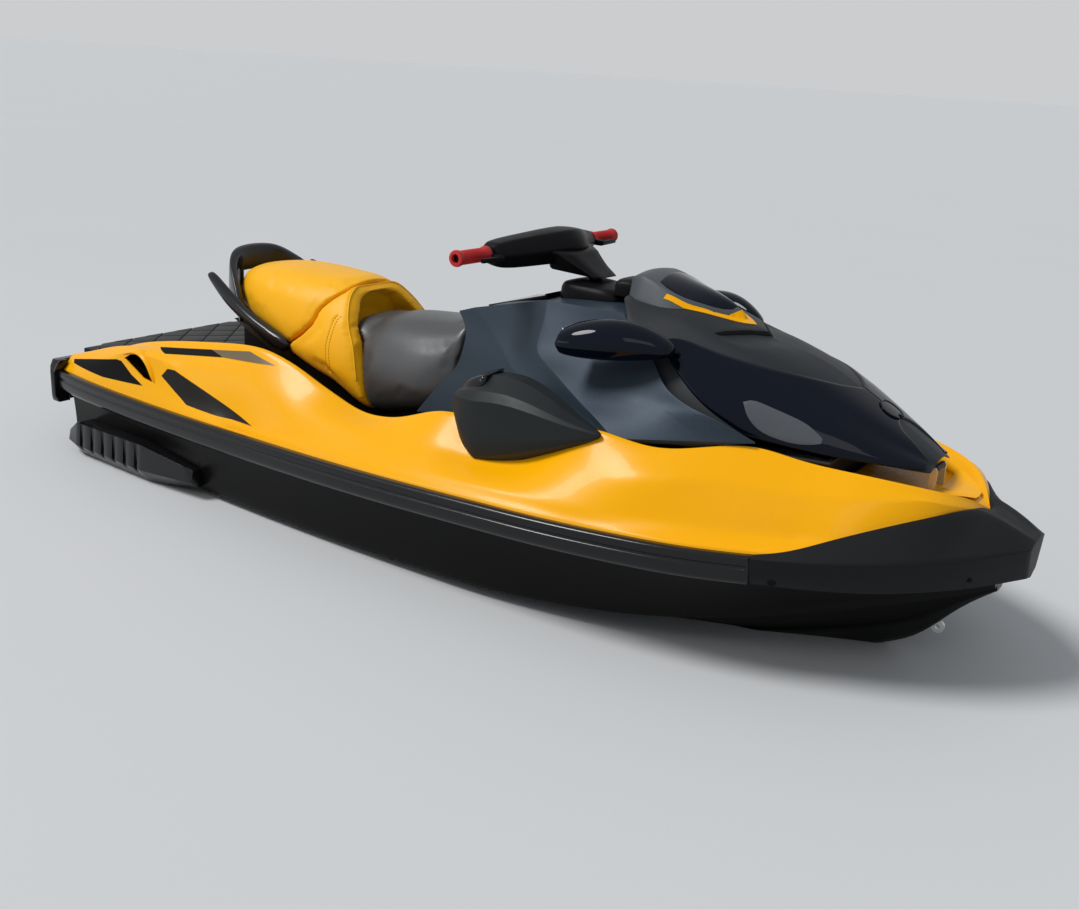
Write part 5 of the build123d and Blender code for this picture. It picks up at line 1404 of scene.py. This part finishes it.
# The solids that keep their shape: node, name, finish, body, edge in metres, least angle and segments.
# A star stands for each side.
SOFTENED = (
    ("glove_lid", "glove_cover", "gloss_black", "glove_lid", 0.004, 30, 3),
    ("throttle_lever", "throttle_finger", "trim_matte", "bars", 0.003, 30, 3),
    ("brake_lever", "brake_finger", "trim_matte", "bars", 0.003, 30, 3),
    ("swim_platform", "swim_deck", "trim_matte", "craft", 0.006, 30, 3),
    ("platform_mat", "deck_mat", "mat_base", "craft", 0.003, 30, 2),
    ("footwell_mat_*", "foot_mat_*", "mat_base", "craft", 0.003, 30, 2),
    ("stern_corner_*", "stern_corner_*_moulding", "rail_black", "craft", 0.018, 32, 2),
    ("sponson_*", "sponson_*_moulding", "rail_black", "craft", 0.004, 32, 2),
    ("seat_base", "seat_base_moulding", "trim_matte", "craft", 0.004, 32, 2),
    ("reverse_bucket", "reverse_bucket_moulding", "pump_black", "bucket", 0.0015, 32, 2),
    ("ride_plate", "ride_plate_moulding", "pump_metal", "craft", 0.002, 32, 2),
    ("cargo_anchor_*", "cargo_anchor_*_moulding", "trim_matte", "craft", 0.003, 32, 2),
    ("storage_bin", "storage_bin_moulding", "bin_plastic", "craft", 0.002, 32, 2),
)
CARRIED = (
    ("engine_block", "engine_cast"), ("jet_pump", "pump_metal"), ("impeller", "blade_steel"),
    ("steering_nozzle", "pump_metal"), ("intake_grate", "pump_metal"), ("bow_eye", "blade_steel"),
    ("stern_eye_*", "blade_steel"), ("lid_hinge", "blade_steel"), ("mirror_glass_*", "mirror_face"),
)


def each_side(rows):
    """The rows of a table, with a port and a starboard row for each that holds a star."""
    for row in rows:
        for label in ("port", "starboard") if "*" in row[0] else ("",):
            yield [value.replace("*", label) if isinstance(value, str) else value for value in row]


def make_fittings():
    """The rigid solids that keep their shape, some with softened edges, and the pads on the mats."""
    for node, name, finish, body, width, degrees, segments in each_side(SOFTENED):
        obj = mesh_object(name, copy_of(node))
        soften(obj, width, degrees, segments)
        settle(obj)
        place(obj, finish, body, [node], 40)
        # a mat's near-black body shows between its lighter pads as painted shade in the grooves
        if finish == "mat_base":
            place(foam_pads(name + "_pads", node), "mat_foam", "craft", (), 40)
    for node, finish in each_side(CARRIED):
        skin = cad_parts[node].data.materials
        skin.clear()
        skin.append(bpy.data.materials[finish])


# graphics, seams and small parts

def make_hood_details():
    """The vent slot, badge field, chevron, flank inserts and nose cap on the hood."""
    tree = surface_of("hood_frame")
    edge = [(vent_line(abs(y)), y) for y in (-136, -90, -45, 0, 45, 90, 136)]
    # the vent slot is not cut into the hood: a thin near-black sheet laid on it is painted shade standing in for the
    # opening
    slot = overlay(
        "hood_vent", tree, [(x - 3, y) for x, y in edge] + [(x + 9, y * 0.98) for x, y in reversed(edge)], "top",
        0.0016, 0.002, 0.006, 0.0, 0
    )
    place(slot, "recess_black", "lid", (), 40)
    hump = surface_of("wind_hump", "hood_frame")
    arm = [(606, 84), (640, 92), (690, 84), (744, 58), (782, 30), (806, 0)]
    field = [(x, -y) for x, y in arm] + [(x, y) for x, y in reversed(arm[:-1])] + [(598, 0)]
    badge = overlay("badge_field", hump, field, "top", 0.0014, 0.0028, 0.006, 0.0008, 2)
    place(badge, "navy_gloss", "lid", (), 40)
    inner = through([Vector(p) for p in ((640, 103, 0), (700, 92, 0), (748, 66, 0), (790, 36, 0), (816, 0, 0))], 15)
    outer = through(
        [Vector(p) for p in ((862, 0, 0), (838, 28, 0), (792, 60, 0), (742, 86, 0), (694, 104, 0), (636, 112, 0))], 15
    )
    half = [(p.x, p.y) for p in inner], [(p.x, p.y) for p in outer]
    ring = [(x, -y) for x, y in half[0]] + [(x, y) for x, y in reversed(half[0][:-1])]
    ring += [(x, y) for x, y in reversed(half[1])] + [(x, -y) for x, y in half[1][1:]]
    chevron = overlay("chevron", hump, ring, "top", 0.0016, 0.0016, 0.005, 0.0, 0)
    place(chevron, "trim_yellow", "lid", (), 40)
    shell = surface_of("hood_gloss_shell")
    blade = [
        (959, 803), (983, 809), (1043, 795), (1103, 778), (1138, 761), (1166, 737), (1113, 727), (1057, 733),
        (1015, 746), (982, 771)
    ]
    overlay_pair("flank_insert", "insert_grey", "lid", 40, shell, blade, "side", 0.002, 0.005, 0.008, 0.0018, 3)
    cap = [(1254 + 29 * math.cos(a * math.tau / 16), 33 * math.sin(a * math.tau / 16)) for a in range(16)]
    disc = overlay("nose_cap", shell, cap, "top", 0.003, 0.005, 0.006, 0.002, 2)
    place(disc, "gloss_black", "lid", (), 40)
    hits = [shell.ray_cast(Vector((x / 1000, y / 1000 + 1e-5, 2)), Vector((0, 0, -1)))[0] for x, y in cap + cap[:1]]
    ring = swept("nose_cap_ring", [p + Vector((0.001, 0, 0.003)) for p in hits if p], 0.0022, 8)
    place(ring, "saddle_grey", "lid", (), 50)


def make_graphics():
    """The dark blank fields laid on the deck's flanks."""
    deck = surface_of("deck_shell")
    fields = {
        "rear_field": (
            [
                (-1548, 468), (-1400, 500), (-1225, 538), (-1195, 538), (-1130, 506), (-1056, 484), (-1300, 462),
                (-1535, 458)
            ],
            "recess_black"
        ),
        "low_field": (
            [(-940, 562), (-905, 564), (-700, 515), (-512, 470), (-660, 470), (-812, 474), (-890, 502), (-966, 534)],
            "graphic_dark"
        ),
        "high_field_dark": ([(-1046, 606), (-803, 640), (-740, 628), (-985, 599)], "recess_black"),
        "high_field_bronze": ([(-800, 640), (-640, 662), (-520, 640), (-738, 628)], "graphic_bronze"),
    }
    for name, (outline, finish) in fields.items():
        overlay_pair(name, finish, "craft", 60, deck, outline, "side", 0.0009, 0.0008, 0.012, 0.0, 0)


def make_stitches():
    """Rows of thread along the bolster's seams, set by a node tree that follows each line."""
    finish = bpy.data.materials["seat_thread"]
    tree = surface_of("seat_bolster_arch")
    rows = []
    for number, line in enumerate(STITCHES):
        for side in (1, -1):
            guide = [tree.find_nearest(p) for p in through([spot(x, side * y, z) for x, y, z in line], 60)]
            bm = bmesh.new()
            bmesh.ops.create_uvsphere(bm, u_segments=6, v_segments=5, radius=0.0011)
            bmesh.ops.scale(bm, verts=bm.verts[:], vec=(1, 1, 3.2))
            thread = mesh_object("thread", bm)
            rows.append(
                strewn(
                    f"row_{number}_{side}", thread, [at + normal * 0.0004 for at, normal, _, _ in guide], 0.0095,
                    finish
                )
            )
    place(joined("seat_stitches", rows), "seat_thread", "craft")


def make_bumper_bolts():
    """The drain hole and the bolt heads on each side of the bow bumper."""
    bumper = surface_of("bow_bumper_cap")
    parts = []
    for x, z, radius in ((1176, 448, 0.011), (1556, 486, 0.007)):
        for side in (1, -1):
            at, normal, _, _ = bumper.ray_cast(Vector((x / 1000, side * 2, z / 1000 - DRAFT)), Vector((0, -side, 0)))
            bm = bmesh.new()
            bmesh.ops.create_cone(bm, cap_ends=True, segments=20, radius1=radius, radius2=radius * 0.8, depth=0.005)
            turned = normal.to_track_quat("Z", "Y").to_matrix().to_4x4()
            bmesh.ops.transform(bm, matrix=Matrix.Translation(at) @ turned, verts=bm.verts[:])
            parts.append(mesh_object("bolt", bm))
    # near-black discs: the bolt heads' own colour, and painted shade where the drain hole is
    place(joined("bumper_bolts", parts), "recess_black", "craft", (), 40)


# finishes

class Term:
    """A socket that can stand in sums, so that shader maths reads as plain expressions."""

    def __init__(self, net, socket):
        self.net, self.socket = net, socket

    def _maths(self, operation, first, second):
        node = self.net.node("ShaderNodeMath", {"operation": operation}, {0: first, 1: second})
        return Term(self.net, node.outputs[0])

    def __add__(self, other):
        return self._maths("ADD", self, other)

    __radd__ = __add__

    def __mul__(self, other):
        return self._maths("MULTIPLY", self, other)

    __rmul__ = __mul__

    def __sub__(self, other):
        return self._maths("SUBTRACT", self, other)

    def __rsub__(self, other):
        return self._maths("SUBTRACT", other, self)

    def __gt__(self, other):
        return self._maths("GREATER_THAN", self, other)


class Net:
    """A material's node tree, with its shader and one way of adding a node."""

    def __init__(self, name, **constants):
        self.material = bpy.data.materials.new(name)
        self.material.use_nodes = True
        self.tree = self.material.node_tree
        self.shader = self.tree.nodes["Principled BSDF"]
        for key, value in constants.items():
            self.shader.inputs[key.replace("_", " ")].default_value = value

    def node(self, kind, settings=None, sockets=None):
        made = self.tree.nodes.new(kind)
        for key, value in (settings or {}).items():
            setattr(made, key, value)
        for key, value in (sockets or {}).items():
            if isinstance(value, Term):
                self.tree.links.new(value.socket, made.inputs[key])
            elif isinstance(value, bpy.types.NodeSocket):
                self.tree.links.new(value, made.inputs[key])
            else:
                made.inputs[key].default_value = value
        return made

    def place(self):
        return self.node("ShaderNodeTexCoord").outputs["Object"]

    def noise(self, scale, detail=3.0, rough=0.5):
        sockets = {"Vector": self.place(), "Scale": scale, "Detail": detail, "Roughness": rough}
        return Term(self, self.node("ShaderNodeTexNoise", None, sockets).outputs["Fac"])

    def cells(self, scale, feature="F1"):
        made = self.node("ShaderNodeTexVoronoi", {"feature": feature}, {"Vector": self.place(), "Scale": scale})
        return Term(self, made.outputs["Distance"])

    def blend(self, factor, first, second):
        made = self.node("ShaderNodeMix", {"data_type": "RGBA"}, {0: factor, 6: first, 7: second})
        return made.outputs[2]

    def drive(self, name, value):
        socket = value.socket if isinstance(value, Term) else value
        self.tree.links.new(socket, self.shader.inputs[name])

    def bump(self, height, strength, distance):
        made = self.node("ShaderNodeBump", None, {"Height": height, "Strength": strength, "Distance": distance})
        self.tree.links.new(made.outputs["Normal"], self.shader.inputs["Normal"])


def paint(
    name, colour, shade_to, roughness, coat=0.0, spread=0.06, grain=0.0, grain_scale=900, metallic=0.0, mottle=3.0,
    shine=0.5
):
    """A moulded or painted surface: a slightly uneven colour, an uneven gloss and a fine grain."""
    net = Net(name, Metallic=metallic, Coat_Weight=coat, Coat_Roughness=0.04, Specular_IOR_Level=shine)
    cloud = net.noise(mottle, 4.0)
    net.drive("Base Color", net.blend(cloud, (*colour, 1), (*shade_to, 1)))
    fine = net.noise(38.0, 5.0, 0.6)
    net.drive("Roughness", roughness + (fine - 0.5) * (2 * spread))
    if grain:
        net.bump(net.noise(grain_scale, 2.0, 0.6), 0.35, grain)
    return net


def make_finishes():
    """Every material of the craft and the stage."""
    c = bpy.context.scene.craft_colours
    yellow = tuple(c.deck)
    paint(
        "deck_paint", yellow, tuple(v * 0.96 for v in yellow), 0.27, coat=0.06, spread=0.04, grain=0.00003,
        grain_scale=60, shine=0.16
    )
    paint("trim_yellow", yellow, tuple(v * 0.95 for v in yellow), 0.35, shine=0.1)
    paint(
        "hull_satin", (0.003, 0.003, 0.0025), (0.005, 0.005, 0.004), 0.3, spread=0.08, grain=0.00006, grain_scale=240,
        shine=0.08
    )
    paint(
        "rail_black", (0.004, 0.004, 0.005), (0.006, 0.006, 0.007), 0.17, spread=0.05, grain=0.00004, grain_scale=700,
        shine=0.34
    )
    paint(
        "bumper_rubber", (0.006, 0.0065, 0.008), (0.01, 0.0105, 0.012), 0.5, spread=0.08, grain=0.00014,
        grain_scale=620, shine=0.14
    )
    paint(
        "trim_matte", (0.003, 0.003, 0.004), (0.005, 0.005, 0.006), 0.42, spread=0.08, grain=0.00010, grain_scale=800,
        shine=0.1
    )
    paint(
        "pod_satin", (0.013, 0.016, 0.017), (0.018, 0.021, 0.023), 0.42, spread=0.06, grain=0.00008, grain_scale=760,
        shine=0.16
    )
    paint(
        "saddle_grey", (0.015, 0.018, 0.021), (0.02, 0.023, 0.027), 0.48, spread=0.06, grain=0.00008, grain_scale=800,
        shine=0.18
    )
    paint(
        "insert_grey", (0.062, 0.068, 0.076), (0.074, 0.081, 0.09), 0.46, spread=0.06, grain=0.00008, grain_scale=800,
        shine=0.25
    )
    paint(
        "handle_satin", (0.006, 0.007, 0.009), (0.01, 0.011, 0.014), 0.22, spread=0.06, grain=0.00005,
        grain_scale=700, shine=0.4
    )
    paint("gloss_black", (0.002, 0.0025, 0.003), (0.003, 0.0035, 0.005), 0.08, spread=0.03, shine=0.4)
    paint(
        "navy_gloss", (0.0008, 0.0025, 0.008), (0.001, 0.0035, 0.011), 0.05, spread=0.02, grain=0.00002,
        grain_scale=50, shine=0.17
    )
    # near-black: the own colour of the graphic fields and bolt heads, and painted shade for the vent slot, the scoop
    # throats and the drain hole
    paint("recess_black", (0.002, 0.002, 0.0025), (0.004, 0.004, 0.004), 0.6, spread=0.05, grain=0.0001, shine=0.08)
    paint("graphic_dark", (0.008, 0.0075, 0.006), (0.014, 0.012, 0.008), 0.35, spread=0.05, shine=0.15)
    paint("graphic_bronze", (0.13, 0.085, 0.025), (0.1, 0.065, 0.02), 0.3, coat=0.4, spread=0.05)
    paint("bin_plastic", (0.04, 0.04, 0.043), (0.05, 0.05, 0.053), 0.5, grain=0.0001)
    paint("engine_cast", (0.12, 0.12, 0.12), (0.2, 0.2, 0.2), 0.6, metallic=0.6, grain=0.0003, grain_scale=180)
    paint(
        "pump_metal", (0.42, 0.43, 0.44), (0.5, 0.51, 0.52), 0.38, metallic=1.0, spread=0.1, grain=0.00012,
        grain_scale=260
    )
    paint("pump_black", (0.02, 0.02, 0.022), (0.03, 0.03, 0.032), 0.42, spread=0.1, grain=0.0001)
    paint("blade_steel", (0.5, 0.5, 0.51), (0.6, 0.6, 0.6), 0.24, metallic=1.0, spread=0.08)
    paint("seat_thread", (0.3, 0.13, 0.004), (0.34, 0.15, 0.006), 0.7, shine=0.2)
    net = Net("mirror_face", Base_Color=(0.85, 0.87, 0.9, 1), Metallic=1.0)
    net.drive("Roughness", 0.02 + net.noise(30) * 0.02)
    net = Net("screen_glass", Coat_Weight=1.0)
    net.drive("Base Color", net.blend(net.noise(12), (0.004, 0.006, 0.008, 1), (0.008, 0.012, 0.014, 1)))
    net.drive("Roughness", 0.05 + net.noise(40) * 0.04)
    net = paint(
        "panel_flake", (0.03, 0.037, 0.045), (0.038, 0.046, 0.056), 0.42, spread=0.04, metallic=0.2, shine=0.15
    )
    glint = 1 - (net.cells(900) > 0.30)
    base = net.blend(net.noise(3.0), (0.022, 0.034, 0.048, 1), (0.029, 0.043, 0.060, 1))
    net.drive("Base Color", net.blend(glint * 0.3, base, (0.14, 0.16, 0.19, 1)))
    vinyl("seat_yellow_vinyl", (0.98, 0.49, 0.006), (0.93, 0.44, 0.005), 0.42)
    vinyl("seat_black_vinyl", (0.036, 0.038, 0.040), (0.047, 0.049, 0.052), 0.36, 0.6)
    net = Net("grip_rubber", Specular_IOR_Level=0.4)
    net.drive("Base Color", net.blend(net.noise(20), (0.42, 0.012, 0.014, 1), (0.52, 0.02, 0.02, 1)))
    net.drive("Roughness", 0.55 + (net.noise(80) - 0.5) * 0.16)
    net.bump(net.noise(900), 0.4, 0.0002)
    paint(
        "mat_foam", (0.030, 0.033, 0.034), (0.038, 0.041, 0.042), 0.72, spread=0.08, grain=0.0003, grain_scale=1100,
        shine=0.12
    )
    # the mats under their pads: near-black, far darker than the pads, partly the foam's own colour and partly painted
    # shade in the grooves between the pads
    paint("mat_base", (0.005, 0.005, 0.006), (0.007, 0.007, 0.008), 0.7, shine=0.08)
    net = Net("floor_paper", Roughness=0.7)
    net.drive("Base Color", net.blend(net.noise(0.5), PAPER_GREY, (0.62, 0.63, 0.64, 1)))


def vinyl(name, colour, other, roughness, shine=0.2):
    """Seat vinyl: a leather-like grain of small rounded cells, and a colour that varies a little."""
    net = Net(name, Sheen_Weight=0.03, Specular_IOR_Level=shine)
    net.drive("Base Color", net.blend(net.noise(5.0, 5.0), (*colour, 1), (*other, 1)))
    net.drive("Roughness", roughness + (net.noise(60.0) - 0.5) * 0.12)
    net.bump(net.cells(520, "SMOOTH_F1") * 0.7 + net.noise(1500) * 0.3, 0.45, 0.00035)
    return net


# stage

CAMERA_AT = (2.097, -2.817, 1.391)
CAMERA_ANGLES = (34.07, 18.55, 3.63)  # degrees of azimuth, elevation and roll, read from the photograph
PAPER_GREY = (0.60, 0.61, 0.62, 1)


def make_stage():
    """The pale floor at the waterline, the soft lamps and the camera at the photograph's angle."""
    reach = (-400, -60, -8, 0, 8, 60, 400)
    floor = mesh_object("floor", weave([[Vector((x, y, 0.0)) for y in reach] for x in reach]))
    if floor.data.polygons[0].normal.z < 0:
        floor.data.flip_normals()
    floor.data.materials.append(bpy.data.materials["floor_paper"])
    s = bpy.context.scene.craft_stage
    world = bpy.data.worlds.new("Studio")
    bpy.context.scene.world = world
    world.use_nodes = True
    tree = world.node_tree
    light = tree.nodes["Background"]
    light.inputs["Color"].default_value = (0.9, 0.95, 1.0, 1)
    light.inputs["Strength"].default_value = s.sky_strength
    plain = tree.nodes.new("ShaderNodeBackground")
    plain.inputs["Color"].default_value = PAPER_GREY
    plain.inputs["Strength"].default_value = 1.0
    path = tree.nodes.new("ShaderNodeLightPath")
    pick = tree.nodes.new("ShaderNodeMixShader")
    seen = path.outputs["Is Camera Ray"]
    for kind in ("Is Glossy Ray", "Is Transmission Ray"):
        larger = tree.nodes.new("ShaderNodeMath")
        larger.operation = "MAXIMUM"
        tree.links.new(seen, larger.inputs[0])
        tree.links.new(path.outputs[kind], larger.inputs[1])
        seen = larger.outputs[0]
    tree.links.new(seen, pick.inputs["Fac"])
    tree.links.new(light.outputs["Background"], pick.inputs[1])
    tree.links.new(plain.outputs["Background"], pick.inputs[2])
    tree.links.new(pick.outputs["Shader"], tree.nodes["World Output"].inputs["Surface"])
    sun = bpy.data.lights.new("sun", "SUN")
    sun.energy = s.sun_strength
    sun.angle = math.radians(s.sun_softness)
    lamps = [(sun, Vector((-1.5, -1.55, 3.2)))]
    for name, at, size, power in (
        ("key", (3.4, -3.2, 4.4), (2.6, 1.2), s.key_power), ("side", (-3.4, -4.2, 2.6), (3.4, 1.0), s.side_power),
    ):
        lamp = bpy.data.lights.new(name, "AREA")
        lamp.shape = "RECTANGLE"
        lamp.size, lamp.size_y = size
        lamp.energy = power
        lamps.append((lamp, Vector(at)))
    for lamp, at in lamps:
        obj = bpy.data.objects.new(lamp.name, lamp)
        obj.location = at
        obj.rotation_euler = (Vector((0, 0, 0.3)) - at).to_track_quat("-Z", "Y").to_euler()
        bpy.context.scene.collection.objects.link(obj)
    azimuth, elevation, roll = (math.radians(v) for v in CAMERA_ANGLES)
    back = Vector(
        (math.sin(azimuth) * math.cos(elevation), -math.cos(azimuth) * math.cos(elevation), math.sin(elevation))
    )
    right = (-back).cross(Vector((0, 0, 1))).normalized()
    up = right.cross(-back)
    turned = math.cos(roll) * right + math.sin(roll) * up
    risen = -math.sin(roll) * right + math.cos(roll) * up
    camera = bpy.data.objects.new("camera", bpy.data.cameras.new("camera"))
    camera.data.sensor_width = 36
    camera.data.lens = s.lens
    camera.matrix_world = Matrix.Translation(CAMERA_AT) @ Matrix((turned, risen, back)).transposed().to_4x4()
    bpy.context.scene.collection.objects.link(camera)
    bpy.context.scene.camera = camera
    bpy.context.scene.view_settings.view_transform = "Standard"


# properties, operators and panel

class CraftColours(bpy.types.PropertyGroup):
    deck: bpy.props.FloatVectorProperty(
        name="Deck", description="Colour of the deck's paint", subtype="COLOR", default=(0.95, 0.43, 0.0), min=0, max=1
    )


class CraftStage(bpy.types.PropertyGroup):
    lens: bpy.props.FloatProperty(
        name="Lens", description="Focal length of the camera", default=38.375, min=10, max=200, unit="CAMERA"
    )
    sky_strength: bpy.props.FloatProperty(
        name="Sky", description="Strength of the even light from all round", default=0.36, min=0
    )
    sun_strength: bpy.props.FloatProperty(
        name="Sun", description="Strength of the soft sun from astern", default=2.3, min=0
    )
    sun_softness: bpy.props.FloatProperty(
        name="Softness", description="Breadth of the soft sun in degrees", default=20, min=0, max=90
    )
    key_power: bpy.props.FloatProperty(
        name="Key lamp", description="Power of the lamp beside the camera", default=14, min=0, subtype="POWER"
    )
    side_power: bpy.props.FloatProperty(
        name="Side lamp", description="Power of the lamp towards the stern", default=16, min=0, subtype="POWER"
    )


def operator(maker):
    """An Operator class that runs one maker, with the maker's words as its help."""

    def execute(self, context):
        maker()
        return {"FINISHED"}

    thing = maker.__name__.removeprefix("make_")
    fields = {
        "bl_idname": "craft." + thing, "bl_label": "Make " + thing.replace("_", " "), "__doc__": maker.__doc__,
        "execute": execute, "bl_options": {"REGISTER", "UNDO"},
    }
    return type("CRAFT_OT_" + thing, (bpy.types.Operator,), fields)


OPERATORS = [operator(maker) for maker in (
    make_finishes, make_stage, make_hull, make_deck, make_scoops, make_nose_floor, make_rails, make_bumper,
    make_side_panels, make_knee_pods, make_console, make_hood, make_hood_shell, make_deflector,
    make_mirrors, make_seats, make_grab_handle, make_bars, make_grips, make_gauge,
    make_fittings, make_hood_details, make_graphics, make_stitches, make_bumper_bolts,
)]


class CRAFT_PT_panel(bpy.types.Panel):
    """Lists the craft's makers and the values that they use"""

    bl_label = "Watercraft"
    bl_space_type = "VIEW_3D"
    bl_region_type = "UI"
    bl_category = "Watercraft"

    def draw(self, context):
        for group in (context.scene.craft_colours, context.scene.craft_stage):
            for key in type(group).__annotations__:
                self.layout.prop(group, key)
        for made in OPERATORS:
            self.layout.operator(made.bl_idname)


CLASSES = [CraftColours, CraftStage, *OPERATORS, CRAFT_PT_panel]


def register():
    for made in CLASSES:
        bpy.utils.register_class(made)
    bpy.types.Scene.craft_colours = bpy.props.PointerProperty(type=CraftColours)
    bpy.types.Scene.craft_stage = bpy.props.PointerProperty(type=CraftStage)


def unregister():
    del bpy.types.Scene.craft_stage
    del bpy.types.Scene.craft_colours
    for made in reversed(CLASSES):
        bpy.utils.unregister_class(made)


def main():
    register()
    for made in OPERATORS:
        group, name = made.bl_idname.split(".")
        getattr(getattr(bpy.ops, group), name)()


if __name__ == "__main__":
    main()
